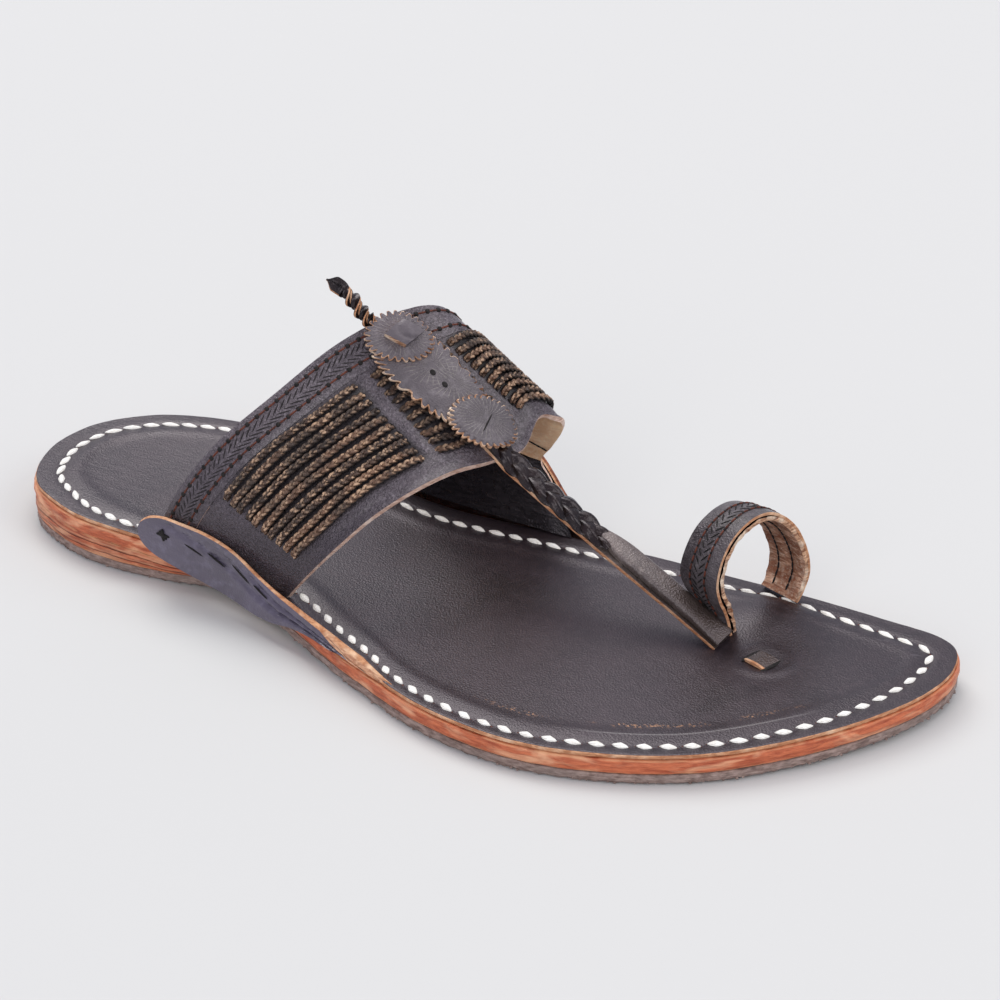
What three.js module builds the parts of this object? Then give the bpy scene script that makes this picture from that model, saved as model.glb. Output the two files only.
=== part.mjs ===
// Kolhapuri sandal, right shoe, empty and standing on its sole. Millimetres, +X toe, +Y inner side, +Z up.
// The last's own axes are used while modelling: x = 0 at the back of the heel, y = 0 on the line from the
// middle of the heel to the toe tip, z = 0 on the floor. The finished group is moved so that its origin is
// at the middle of the bottom of its box.

import * as THREE from "three";
import { mergeVertices } from "three/addons/utils/BufferGeometryUtils.js";

const gap = 0.3; // clearance between neighbouring pieces
const { lerp, smoothstep } = THREE.MathUtils;

// ---------------------------------------------------------------- sole: sizes and outline

const sole = {
  outsole: 2.9, // rubber
  midsole: 4.0, // natural leather
  insole: 1.2, // dark leather
  wedge: 5.6, // heel lift with its clearance
  wedgeFrom: 42, // the lift starts to thin here
  wedgeTo: 92,
  wedgeEnd: 79, // and is skived off here
  arch: 2.4, // how far the waist stands clear of the floor
  archFrom: 58,
  archPeak: 92,
  archTo: 135,
  springFrom: 215, // toe spring
  spring: 2.0,
  rimBulge: 0.8, // how far the natural leather stands out past the insole
  stations: 48,
};

// rim of the insole at sections across the foot
const rim = [
  { x: 0.5, lateral: -10, medial: 15 },
  { x: 4.6, lateral: -18.5, medial: 22.1 },
  { x: 9.4, lateral: -24, medial: 27 },
  { x: 17, lateral: -28.8, medial: 32.6 },
  { x: 30, lateral: -34.3, medial: 37 },
  { x: 45, lateral: -36.6, medial: 39 },
  { x: 60, lateral: -36.3, medial: 38 },
  { x: 78, lateral: -36.2, medial: 33.6 },
  { x: 95, lateral: -41.6, medial: 28.9 },
  { x: 115, lateral: -51.6, medial: 25 },
  { x: 140, lateral: -64.5, medial: 24.2 },
  { x: 164, lateral: -75, medial: 24.3 },
  { x: 189, lateral: -79.5, medial: 23.6 },
  { x: 210, lateral: -77, medial: 22.3 },
  { x: 238, lateral: -65.8, medial: 20.3 },
  { x: 263, lateral: -45, medial: 16.3 },
  { x: 279, lateral: -24.3, medial: 12.6 },
  { x: 284.8, lateral: -12, medial: 7.4 },
];
const heelTip = { x: -1.8, y: 2 };
const toeTip = { x: 286.6, y: -2.5 };

const rimLoop = new THREE.CatmullRomCurve3([
  new THREE.Vector3(heelTip.x, heelTip.y, 0),
  ...rim.map((row) => new THREE.Vector3(row.x, row.lateral, 0)),
  new THREE.Vector3(toeTip.x, toeTip.y, 0),
  ...rim.map((row) => new THREE.Vector3(row.x, row.medial, 0)).reverse(),
], true, "centripetal");
const toeT = 0.5; // the two sides have the same number of points

// a point of the rim loop, moved outwards
function rimPoint(t, outward) {
  const point = rimLoop.getPoint(t % 1);
  const tangent = rimLoop.getTangent(t % 1);
  return new THREE.Vector2(point.x + tangent.y * outward, point.y - tangent.x * outward);
}

// y of one side of the rim at x, moved outwards; x rises with t on the lateral side, falls on the medial
function rimY(side, x, outward) {
  let low = side === "lateral" ? 0 : 1;
  let high = toeT;
  for (let i = 0; i < 40; i += 1) {
    const middle = (low + high) / 2;
    if (rimPoint(middle, outward).x < x) low = middle;
    else high = middle;
  }
  return rimPoint((low + high) / 2, outward).y;
}

// ---------------------------------------------------------------- heights along the foot

function floorLift(x) {
  const rise = smoothstep(x, sole.archFrom, sole.archPeak);
  const fall = smoothstep(x, sole.archPeak, sole.archTo);
  const spring = Math.max(0, (x - sole.springFrom) / (toeTip.x - sole.springFrom));
  return sole.arch * (rise - fall) + sole.spring * spring * spring;
}

function wedge(x) {
  return sole.wedge * (1 - smoothstep(x, sole.wedgeFrom, sole.wedgeTo));
}

const outsoleTop = (x) => floorLift(x) + sole.outsole;
const midsoleBottom = (x) => outsoleTop(x) + gap + wedge(x);
const midsoleTop = (x) => midsoleBottom(x) + sole.midsole;
const insoleTop = (x) => midsoleTop(x) + gap + sole.insole;

// ---------------------------------------------------------------- solids from sections

// Closed solid through rings of one even number of points. Each ring runs anticlockwise when it is seen
// from the far end, and its ends are closed by the strip that joins point i to the one opposite.
function loft(rings) {
  const count = rings[0].length;
  const index = [];
  for (let ring = 0; ring < rings.length - 1; ring += 1) {
    for (let i = 0; i < count; i += 1) {
      const a = ring * count + i;
      const b = ring * count + ((i + 1) % count);
      index.push(a, b, b + count, a, b + count, a + count);
    }
  }
  const last = (rings.length - 1) * count;
  for (let i = 0; i < count / 2 - 1; i += 1) {
    const across = count - 1 - i;
    index.push(i, across - 1, i + 1, i, across, across - 1);
    index.push(last + i, last + i + 1, last + across - 1, last + i, last + across - 1, last + across);
  }
  const geometry = new THREE.BufferGeometry();
  const positions = rings.flat().flatMap((p) => [p.x, p.y, p.z]);
  geometry.setAttribute("position", new THREE.Float32BufferAttribute(positions, 3));
  geometry.setIndex(index);
  return geometry;
}

const vec = (x, y, z) => new THREE.Vector3(x, y, z);

// Layer of the sole between two heights, with its edge standing out in the middle.
function soleLayer({ from, to, bottom, top, outward, bulge, lateralTrim = () => 0, medialTrim = () => 0 }) {
  const rings = [];
  for (let i = 0; i <= sole.stations; i += 1) {
    const x = lerp(from, to, (1 - Math.cos((Math.PI * i) / sole.stations)) / 2);
    const low = bottom(x);
    const high = top(x);
    const middle = (low + high) / 2;
    const medial = rimY("medial", x, outward) - medialTrim(x);
    const lateral = rimY("lateral", x, outward) + lateralTrim(x);
    const out = Math.min(bulge, (medial - lateral) / 4);
    rings.push([
      vec(x, medial - out, low), vec(x, medial, middle), vec(x, medial - out, high),
      vec(x, lateral + out, high), vec(x, lateral, middle), vec(x, lateral + out, low),
    ]);
  }
  return loft(rings);
}

const heelEnd = (outward) => heelTip.x - outward + 0.05;
const toeEnd = (outward) => toeTip.x + outward - 0.05;

function outsole() {
  const outward = 0.5;
  return soleLayer({
    from: heelEnd(outward), to: toeEnd(outward), bottom: floorLift, top: outsoleTop, outward, bulge: 0.3,
  });
}

function heelLift() {
  const bottom = (x) => outsoleTop(x) + gap;
  const top = (x) => midsoleBottom(x) - gap;
  return soleLayer({
    from: heelEnd(sole.rimBulge), to: sole.wedgeEnd, bottom, top, outward: sole.rimBulge, bulge: 0.4,
  });
}

function midsole() {
  return soleLayer({
    from: heelEnd(sole.rimBulge), to: toeEnd(sole.rimBulge), bottom: midsoleBottom, top: midsoleTop,
    outward: sole.rimBulge, bulge: 0.4,
  });
}

// The insole gives way at the front of each ear, which is tucked in beside it.
const tuck = 3.3;
const lateralTuck = (x) => tuck * smoothstep(x, 112, 140) * (1 - smoothstep(x, 153, 162));
const medialTuck = (x) => tuck * smoothstep(x, 150, 172) * (1 - smoothstep(x, 182, 192));

function insole() {
  return soleLayer({
    from: heelEnd(0), to: toeEnd(0), bottom: (x) => midsoleTop(x) + gap, top: insoleTop,
    outward: 0, bulge: 0.2, lateralTrim: lateralTuck, medialTrim: medialTuck,
  });
}

// ---------------------------------------------------------------- upper: one wall over the instep

const upperWall = 2.0;

// sections over the foot, from the lateral root to the medial root: outer face at the rear and front edge
const upperSections = [
  { rear: vec(61, -36.5, 12.8), front: vec(108, -45.2, 10.9) },
  { rear: vec(64, -39.5, 22), front: vec(113.5, -45, 18) },
  { rear: vec(70, -38, 34), front: vec(122, -43.2, 28) },
  { rear: vec(80, -32.5, 48), front: vec(131.5, -37.4, 38) },
  { rear: vec(93, -22, 61), front: vec(140.5, -29, 44.5) },
  { rear: vec(105, -10.5, 72.5), front: vec(147.5, -18.5, 46.8) },
  { rear: vec(115, -0.5, 78.8), front: vec(153, -7, 45.5) },
  { rear: vec(122.5, 7.5, 81.2), front: vec(157.6, 4.5, 44.9) },
  { rear: vec(127, 14, 79.5), front: vec(158.5, 14, 51.2) },
  { rear: vec(128.5, 20, 74), front: vec(162, 21, 48.8) },
  { rear: vec(126, 25.5, 65), front: vec(161, 25.5, 43) },
  { rear: vec(120, 29, 53), front: vec(156.5, 28.5, 35.5) },
  { rear: vec(111, 31, 38), front: vec(152.5, 29.3, 28.9) },
  { rear: vec(104, 31, 24), front: vec(157, 28, 22.5) },
  { rear: vec(100, 28, 11.6), front: vec(165, 23.9, 8.6) },
];
const upperSpan = upperSections.length - 1;
const rearEdge = new THREE.CatmullRomCurve3(upperSections.map((row) => row.rear), false, "catmullrom");
const frontEdge = new THREE.CatmullRomCurve3(upperSections.map((row) => row.front), false, "catmullrom");

// Outer face of the upper: u counts the sections from the lateral root, and v goes from the rear edge (0) to
// the front edge (1).
function upperFace(u, v) {
  const t = THREE.MathUtils.clamp(u / upperSpan, 0, 1);
  return rearEdge.getPoint(t).lerp(frontEdge.getPoint(t), v);
}

function upperNormal(u, v) {
  const step = 0.01;
  const over = upperFace(u + step, v).sub(upperFace(u - step, v));
  const along = upperFace(u, v + step).sub(upperFace(u, v - step));
  return along.cross(over).normalize();
}

// height is measured off the outer face along its normal
function upperPoint(u, v, height) {
  return upperFace(u, v).addScaledVector(upperNormal(u, v), height);
}

// keeps a point of a root clear of the insole that it stands on
function aboveInsole(point) {
  point.z = Math.max(point.z, insoleTop(point.x) + gap);
  return point;
}

function upper() {
  const stepsPerSection = 3;
  const lengthSteps = 5;
  const rings = [];
  for (let i = 0; i <= upperSpan * stepsPerSection; i += 1) {
    const u = i / stepsPerSection;
    const outer = [];
    const inner = [];
    for (let j = 0; j <= lengthSteps; j += 1) {
      outer.push(aboveInsole(upperPoint(u, j / lengthSteps, 0)));
      inner.unshift(aboveInsole(upperPoint(u, j / lengthSteps, -upperWall)));
    }
    rings.push([...outer, ...inner]);
  }
  return loft(rings);
}

// ---------------------------------------------------------------- ears: flaps beside the roots

const earWall = 2.2;

// outer face of each flap, at its top and bottom edge
const lateralEarSections = [
  { x: 57, topY: -42.2, topZ: 20.2, bottomY: -42.2, bottomZ: 17.6 },
  { x: 58.5, topY: -42.3, topZ: 22.4, bottomY: -42.4, bottomZ: 15.2 },
  { x: 61.5, topY: -42.5, topZ: 24.2, bottomY: -42.8, bottomZ: 13.2 },
  { x: 66, topY: -42.6, topZ: 25, bottomY: -43.3, bottomZ: 11.7 },
  { x: 73, topY: -42.8, topZ: 24.2, bottomY: -44, bottomZ: 10 },
  { x: 80, topY: -43.4, topZ: 23.4, bottomY: -44.6, bottomZ: 8.4 },
  { x: 87, topY: -44.8, topZ: 22.2, bottomY: -45.6, bottomZ: 7 },
  { x: 93, topY: -46.4, topZ: 20.4, bottomY: -47.2, bottomZ: 6 },
  { x: 99, topY: -47.9, topZ: 17.4, bottomY: -49.4, bottomZ: 5.5 },
  { x: 106, topY: -50, topZ: 14.6, bottomY: -52.3, bottomZ: 5.5 },
  { x: 113, topY: -52.4, topZ: 12.8, bottomY: -55, bottomZ: 6 },
  { x: 121, topY: -55.8, topZ: 11.6, bottomY: -58.6, bottomZ: 6.8 },
  { x: 127, topY: -58.4, topZ: 11, bottomY: -61.4, bottomZ: 8 },
  { x: 133, topY: -61.2, topZ: 10.5, bottomY: -63.2, bottomZ: 7.9 },
  { x: 140, topY: -64.4, topZ: 9.8, bottomY: -65.6, bottomZ: 7.7 },
  { x: 147, topY: -67.2, topZ: 9.2, bottomY: -67.6, bottomZ: 7.6 },
];
const medialEarSections = [
  { x: 95, topY: 34.6, topZ: 21.4, bottomY: 34, bottomZ: 17.8 },
  { x: 96.5, topY: 34.7, topZ: 24.2, bottomY: 33, bottomZ: 13.6 },
  { x: 100, topY: 34.8, topZ: 26.4, bottomY: 31.8, bottomZ: 9.6 },
  { x: 107, topY: 34.8, topZ: 28.2, bottomY: 31, bottomZ: 7 },
  { x: 115, topY: 34.6, topZ: 29.6, bottomY: 30.4, bottomZ: 5.8 },
  { x: 125, topY: 34.2, topZ: 31, bottomY: 29.6, bottomZ: 5.4 },
  { x: 135, topY: 33.8, topZ: 32, bottomY: 29, bottomZ: 5.4 },
  { x: 143, topY: 33.2, topZ: 32.2, bottomY: 28.4, bottomZ: 5.8 },
  { x: 148, topY: 32.8, topZ: 31, bottomY: 28.1, bottomZ: 6.2 },
  { x: 152, topY: 32.3, topZ: 28, bottomY: 27.9, bottomZ: 6.7 },
  { x: 156, topY: 31.3, topZ: 23.6, bottomY: 27.8, bottomZ: 7.2 },
  { x: 160, topY: 30, topZ: 19, bottomY: 27.6, bottomZ: 7.6 },
  { x: 165, topY: 28.2, topZ: 14.6, bottomY: 27, bottomZ: 7.6 },
  { x: 171, topY: 26, topZ: 11.4, bottomY: 25.6, bottomZ: 7.6 },
  { x: 177, topY: 24.2, topZ: 9.6, bottomY: 24.2, bottomZ: 7.6 },
];

function ear(sections, side) {
  const inward = side === "medial" ? -earWall : earWall;
  const rings = sections.map((row) => {
    const edge = (height, offset) => vec(
      row.x, lerp(row.bottomY, row.topY, height) + offset, lerp(row.bottomZ, row.topZ, height),
    );
    const outer = [edge(0, 0), edge(0.5, 0), edge(1, 0)];
    const inner = [edge(1, inward), edge(0.5, inward), edge(0, inward)];
    return side === "medial" ? [...outer, ...inner] : [...inner.reverse(), ...outer.reverse()];
  });
  return loft(rings);
}

// ---------------------------------------------------------------- cords woven through the upper

const cord = { count: 10, radius: 1.0, sides: 8, steps: 10, firstV: 0.265, lastV: 0.837 };

// where the first and the last cord of each side leave the slots
const cordRuns = {
  lateral: { first: [2.14, 4.84], last: [1.52, 4.68] },
  medial: { first: [7.15, 11.7], last: [7.65, 11.4] },
};

function cordSolid(side, row) {
  const { first, last } = cordRuns[side];
  const share = row / (cord.count - 1);
  const v = lerp(cord.firstV, cord.lastV, share);
  const from = lerp(first[0], last[0], share);
  const to = lerp(first[1], last[1], share);
  const points = [];
  for (let i = 0; i <= cord.steps; i += 1) {
    points.push(upperPoint(lerp(from, to, i / cord.steps), v, cord.radius + 1.5 * gap));
  }
  const outline = new THREE.Shape();
  outline.absarc(0, 0, cord.radius, 0, Math.PI * 2);
  const extrudePath = new THREE.CatmullRomCurve3(points);
  return new THREE.ExtrudeGeometry(outline, {
    curveSegments: cord.sides, steps: cord.steps, bevelEnabled: false, extrudePath,
  });
}

// ---------------------------------------------------------------- ornament along the middle of the upper

const plate = 1.2; // thickness of each toothed piece
const panelHeight = 2.6; // over the cords
const rosetteHeight = panelHeight + plate + gap;
const studHeight = rosetteHeight + plate + gap;

// mm across (towards the medial side) and along (towards the toes) from the middle of the rear rosette
function ornamentPoint(across, along, height) {
  const u = 6.12 + along * 0.0085 + across / 11.5;
  const v = 0.14 + along * 0.0192 - across * 0.0026;
  return upperPoint(u, v, height);
}

// round or oval plate that follows the upper
function plateSolid({ across, along, halfLength, halfWidth, height, thickness = plate, segments = 24 }) {
  const top = height + thickness;
  const profile = [[0, height], [0.5, height], [1, height], [1, top], [0.5, top], [0, top]];
  const disc = new THREE.LatheGeometry(profile.map(([r, h]) => new THREE.Vector2(r, h)), segments);
  disc.deleteAttribute("normal");
  disc.deleteAttribute("uv");
  const merged = mergeVertices(disc, 1e-4);
  const position = merged.getAttribute("position");
  for (let i = 0; i < position.count; i += 1) {
    const point = ornamentPoint(
      across + position.getX(i) * halfWidth, along + position.getZ(i) * halfLength, position.getY(i),
    );
    position.setXYZ(i, point.x, point.y, point.z);
  }
  return merged;
}

const rearRosette = { across: -0.5, along: 0.5, halfLength: 8.7, halfWidth: 7.7, height: rosetteHeight };
const centrePanel = { across: -1.2, along: 15.5, halfLength: 19.5, halfWidth: 9.4, height: panelHeight };
const frontRosette = { across: -0.8, along: 33.2, halfLength: 9.2, halfWidth: 9.4, height: rosetteHeight };
const rosetteStud = {
  across: 0.4, along: 0.4, halfLength: 4.6, halfWidth: 4.6, height: studHeight, thickness: 2, segments: 4,
};

// ---------------------------------------------------------------- bars: tail and toe thong

// Bar of eight sides along rows of centre, half width and half thickness. up is the direction of its face.
function bar(rows) {
  const path = new THREE.CatmullRomCurve3(rows.map((row) => row.at));
  const rings = rows.map((row, i) => {
    const forward = path.getTangent(i / (rows.length - 1));
    const left = new THREE.Vector3().crossVectors(row.up, forward).normalize();
    const up = new THREE.Vector3().crossVectors(forward, left);
    const corner = 0.6;
    const { w, h } = row;
    const outline = [
      [w, -h * corner], [w, h * corner], [w * corner, h], [-w * corner, h],
      [-w, h * corner], [-w, -h * corner], [-w * corner, -h], [w * corner, -h],
    ];
    return outline.map(([a, b]) => row.at.clone().addScaledVector(left, a).addScaledVector(up, b));
  });
  return loft(rings);
}

function plaitTail() {
  const root = upperPoint(5.7, 0, 1.5);
  const up = vec(0.7, 0, 0.7);
  return bar([
    { at: root, w: 1.6, h: 1.1, up },
    { at: vec(110.4, -4.4, 82), w: 1.9, h: 1.6, up },
    { at: vec(108.6, -4, 86), w: 1.9, h: 1.7, up },
    { at: vec(105.8, -4.2, 88.6), w: 1.6, h: 1.4, up },
    { at: vec(103, -4.2, 91.4), w: 0.5, h: 0.5, up },
  ]);
}

const thongEnd = vec(226, -13.5, 10.6);

function toeThong() {
  const faceUp = upperNormal(6.46, 1);
  const restUp = vec(0.45, -0.25, 0.86);
  const root = upperPoint(6.4, 0.84, 1.9);
  const overEdge = upperPoint(6.46, 1.04, 2.1);
  const rows = [
    { at: root, w: 3.8, h: 1.3, up: faceUp },
    { at: overEdge, w: 4, h: 1.5, up: faceUp },
  ];
  const steps = 8;
  for (let i = 1; i <= steps; i += 1) {
    const share = i / steps;
    const plaited = share < 0.5;
    rows.push({
      at: overEdge.clone().lerp(thongEnd, share),
      w: plaited ? 4 : 3.2,
      h: plaited ? 2.2 : 1.7,
      up: faceUp.clone().lerp(restUp, share),
    });
  }
  return standOnInsole(bar(rows));
}

// lifts what would sink into the insole
function standOnInsole(geometry) {
  const position = geometry.getAttribute("position");
  for (let i = 0; i < position.count; i += 1) {
    position.setZ(i, Math.max(position.getZ(i), insoleTop(position.getX(i)) + gap));
  }
  return geometry;
}

// ---------------------------------------------------------------- toe loop and the thong's end tab

const loop = {
  front: { x: 226.4, y: -8.8 }, // outer front corner of the lateral foot
  heading: THREE.MathUtils.degToRad(65.6), // of the line between the feet, from +X
  width: 13.5,
  wall: 3,
  footHeight: 9,
  rise: 34, // from the feet to the crown
  rearDrop: 2, // how much lower the rear edge is at the crown
};

// outer face in the plane of the front edge: distance from the lateral foot, height above the floor, and
// width of the band, which narrows to its feet
const loopArc = [
  { s: 0.6, z: 8.9, width: 8 },
  { s: -0.9, z: 13.5, width: 8.5 },
  { s: -3, z: 17.5, width: 9.5 },
  { s: -5.6, z: 21.5, width: 11.5 },
  { s: -7.3, z: 27.5, width: 13.5 },
  { s: -5.6, z: 35, width: 13.5 },
  { s: -1, z: 40.8, width: 13.5 },
  { s: 6.5, z: 43.8, width: 13.5 },
  { s: 14.5, z: 42.4, width: 13.5 },
  { s: 23, z: 35.6, width: 13.5 },
  { s: 28.8, z: 26, width: 13.5 },
  { s: 30.8, z: 18, width: 13.5 },
  { s: 29, z: 12.4, width: 13 },
  { s: 26.5, z: 8.9, width: 12.5 },
];

function toeLoop() {
  const path = new THREE.CatmullRomCurve3(loopArc.map((row) => vec(row.s, row.z, row.width)));
  const steps = 28;
  const along = vec(Math.cos(loop.heading), Math.sin(loop.heading), 0);
  const back = vec(-along.y, along.x, 0);
  const corner = (s, z, behind) => {
    const sink = (behind / loop.width) * loop.rearDrop * ((z - loop.footHeight) / loop.rise);
    const point = vec(loop.front.x, loop.front.y, z - sink);
    point.addScaledVector(along, s).addScaledVector(back, behind);
    return aboveInsole(point);
  };
  const rings = [];
  for (let i = 0; i <= steps; i += 1) {
    const outer = path.getPoint(i / steps);
    const width = outer.z;
    const tangent = path.getTangent(i / steps);
    const inner = vec(outer.x + tangent.y * loop.wall, outer.y - tangent.x * loop.wall, 0);
    rings.push([
      corner(outer.x, outer.y, width), corner(outer.x, outer.y, 0),
      corner(inner.x, inner.y, 0), corner(inner.x, inner.y, width),
    ]);
  }
  return loft(rings);
}

const tab = { x: 238, y: -17.6, length: 7, width: 6.4, thickness: 0.9, heading: -24 };

function anchorTab() {
  const solid = new THREE.BoxGeometry(tab.length, tab.width, tab.thickness);
  solid.rotateZ(THREE.MathUtils.degToRad(tab.heading));
  solid.translate(tab.x, tab.y, insoleTop(tab.x + tab.length / 2) + gap + tab.thickness / 2);
  return solid;
}

// ---------------------------------------------------------------- assembly

const leather = (color) => new THREE.MeshStandardMaterial({ color, roughness: 0.55, metalness: 0 });
const rubber = () => new THREE.MeshStandardMaterial({ color: 0x6e6258, roughness: 0.9, metalness: 0 });
const waxedCord = () => new THREE.MeshStandardMaterial({ color: 0x5f4632, roughness: 0.6, metalness: 0 });
const darkLeather = 0x4b4448;
const naturalLeather = 0xbe7844;

const sandal = new THREE.Group();

function place(name, geometry, material) {
  const mesh = new THREE.Mesh(geometry, material);
  mesh.name = name;
  sandal.add(mesh);
}

place("outsole", outsole(), rubber());
place("heel_lift", heelLift(), leather(naturalLeather));
place("midsole", midsole(), leather(naturalLeather));
place("insole", insole(), leather(darkLeather));
place("upper", upper(), leather(darkLeather));
place("lateral_ear", ear(lateralEarSections, "lateral"), leather(darkLeather));
place("medial_ear", ear(medialEarSections, "medial"), leather(darkLeather));
for (const side of ["lateral", "medial"]) {
  for (let row = 0; row < cord.count; row += 1) {
    place(`cord_${side}_${row + 1}`, cordSolid(side, row), waxedCord());
  }
}
place("centre_panel", plateSolid(centrePanel), leather(darkLeather));
place("rear_rosette", plateSolid(rearRosette), leather(darkLeather));
place("front_rosette", plateSolid(frontRosette), leather(darkLeather));
place("rosette_stud", plateSolid(rosetteStud), leather(darkLeather));
place("plait_tail", plaitTail(), leather(darkLeather));
place("toe_thong", toeThong(), leather(darkLeather));
place("toe_loop", toeLoop(), leather(darkLeather));
place("anchor_tab", anchorTab(), leather(darkLeather));

const box = new THREE.Box3().setFromObject(sandal);
sandal.position.set(-(box.min.x + box.max.x) / 2, -(box.min.y + box.max.y) / 2, -box.min.z);

const group = new THREE.Group();
group.add(sandal);

export default group;
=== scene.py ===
import bisect
import math
import random

import bmesh
import bpy
from mathutils import Matrix, Vector, noise


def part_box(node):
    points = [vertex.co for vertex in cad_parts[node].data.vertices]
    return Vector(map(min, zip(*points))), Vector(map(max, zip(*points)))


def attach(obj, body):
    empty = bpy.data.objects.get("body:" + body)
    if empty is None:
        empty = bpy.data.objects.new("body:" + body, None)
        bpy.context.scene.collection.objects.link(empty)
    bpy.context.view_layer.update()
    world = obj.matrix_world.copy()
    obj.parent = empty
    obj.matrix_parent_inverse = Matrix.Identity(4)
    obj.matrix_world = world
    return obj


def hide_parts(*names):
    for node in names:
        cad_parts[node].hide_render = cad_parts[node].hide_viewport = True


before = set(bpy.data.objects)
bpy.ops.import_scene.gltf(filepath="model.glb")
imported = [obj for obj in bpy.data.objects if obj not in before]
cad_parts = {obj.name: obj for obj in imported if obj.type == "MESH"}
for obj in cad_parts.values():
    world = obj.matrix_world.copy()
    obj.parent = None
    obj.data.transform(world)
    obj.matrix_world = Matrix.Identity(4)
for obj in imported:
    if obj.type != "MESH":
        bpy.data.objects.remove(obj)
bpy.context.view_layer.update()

scene = bpy.context.scene
upward = Vector((0, 0, 1))

# Right sandal. Pieces are worked out in millimetres on the last's own axes: x from the back of the heel to
# the toes, y towards the inner side, z up from the floor. toFrame moves them to the frame's place.
gap = 0.3
thongTab = {
    "x": 238, "y": -17.6, "length": 7, "width": 6.4, "heading": -24,
    "thick": 0.55, "crown": 0.35, "sunk": 0.1,
}
tabLow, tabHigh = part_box("anchor_tab")
shift = (tabLow + tabHigh) / 2 * 1000 - Vector((thongTab["x"], thongTab["y"], 0))
shift.z = 0
toFrame = Matrix.Scale(0.001, 4) @ Matrix.Translation(shift)


def smoothstep(x, low, high):
    t = min(1, max(0, (x - low) / (high - low)))
    return t * t * (3 - 2 * t)


def fade(x, low, high):  # 1 before low, 0 after high
    return 1 - smoothstep(x, low, high)


def mix(a, b, share):
    return a + (b - a) * share


def hump(x, middle, width):  # 1 at the middle, near 0 two widths away
    return math.exp(-((x - middle) / width) ** 2)


def fromTable(table, x):  # straight between the rows of a sorted table
    keys = [row[0] for row in table]
    i = min(len(table) - 2, max(0, bisect.bisect_right(keys, x) - 1))
    share = min(1, max(0, (x - keys[i]) / (keys[i + 1] - keys[i])))
    return mix(table[i][1], table[i + 1][1], share)


def uneven(point, size, seed=0):  # soft noise from -1 to 1
    return noise.noise(Vector((point[0] / size + seed * 7.3, point[1] / size, point[2] / size)))


# ---- camera and light

view = {"azimuth": 24.95, "elevation": 28.5, "distance": 0.7173, "lookAt": (129, 50, 0), "lens": 82.8}
lamps = {  # azimuth, elevation, distance m, size m, power W
    "keyLeftBack": (-128, 52, 4.0, 2.2, 75),
    "backTop": (168, 74, 4.0, 2.8, 56),
    "fillFront": (5, 30, 3.0, 1.8, 25),
    "fillRight": (95, 35, 3.0, 1.8, 24),
}
studio = {
    "aim": (140, -10, 10), "lampColor": (1, 0.993, 0.93), "sky": (0.945, 0.955, 1.13, 1), "skyPower": 0.47,
}


def stand(name, data, azimuth, elevation, distance, aim):  # the camera or a lamp, turned towards aim
    a, e = math.radians(azimuth), math.radians(elevation)
    back = Vector((math.sin(a) * math.cos(e), -math.cos(a) * math.cos(e), math.sin(e)))
    made = bpy.data.objects.new(name, data)
    scene.collection.objects.link(made)
    made.location = toFrame @ Vector(aim) + back * distance
    made.rotation_euler = back.to_track_quat("Z", "Y").to_euler()
    return made


def makeCamera():
    data = bpy.data.cameras.new("camera")
    data.lens = view["lens"]
    data.sensor_width = 36
    data.clip_start = 0.01
    scene.camera = stand("camera", data, view["azimuth"], view["elevation"], view["distance"], view["lookAt"])


def makeLights():
    for name, (azimuth, elevation, distance, size, power) in lamps.items():
        data = bpy.data.lights.new(name, "AREA")
        data.size = size
        data.energy = power
        data.color = studio["lampColor"]
        stand(name, data, azimuth, elevation, distance, studio["aim"])
    world = bpy.data.worlds.new("studio")
    scene.world = world
    world.use_nodes = True
    sky = world.node_tree.nodes["Background"]
    sky.inputs[0].default_value = studio["sky"]
    sky.inputs[1].default_value = studio["skyPower"]
    scene.view_settings.view_transform = "Standard"


makeCamera()
makeLights()
print("camera and lights")


# ---- finishes

def tone(red, green, blue):  # screen values 0 to 255
    shades = [value / 255 for value in (red, green, blue)]
    return (*(v / 12.92 if v <= 0.04045 else ((v + 0.055) / 1.055) ** 2.4 for v in shades), 1)


class Wire:  # a node's output in an expression
    def __init__(self, finish, socket):
        self.finish = finish
        self.socket = socket

    def combine(self, operation, first, second):
        return self.finish.node("Math", {"operation": operation}, {0: first, 1: second})

    def __add__(self, other):
        return self.combine("ADD", self, other)

    def __sub__(self, other):
        return self.combine("SUBTRACT", self, other)

    def __rsub__(self, other):
        return self.combine("SUBTRACT", other, self)

    def __mul__(self, other):
        return self.combine("MULTIPLY", self, other)

    __radd__ = __add__
    __rmul__ = __mul__

    def larger(self, other):
        return self.combine("MAXIMUM", self, other)


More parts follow.
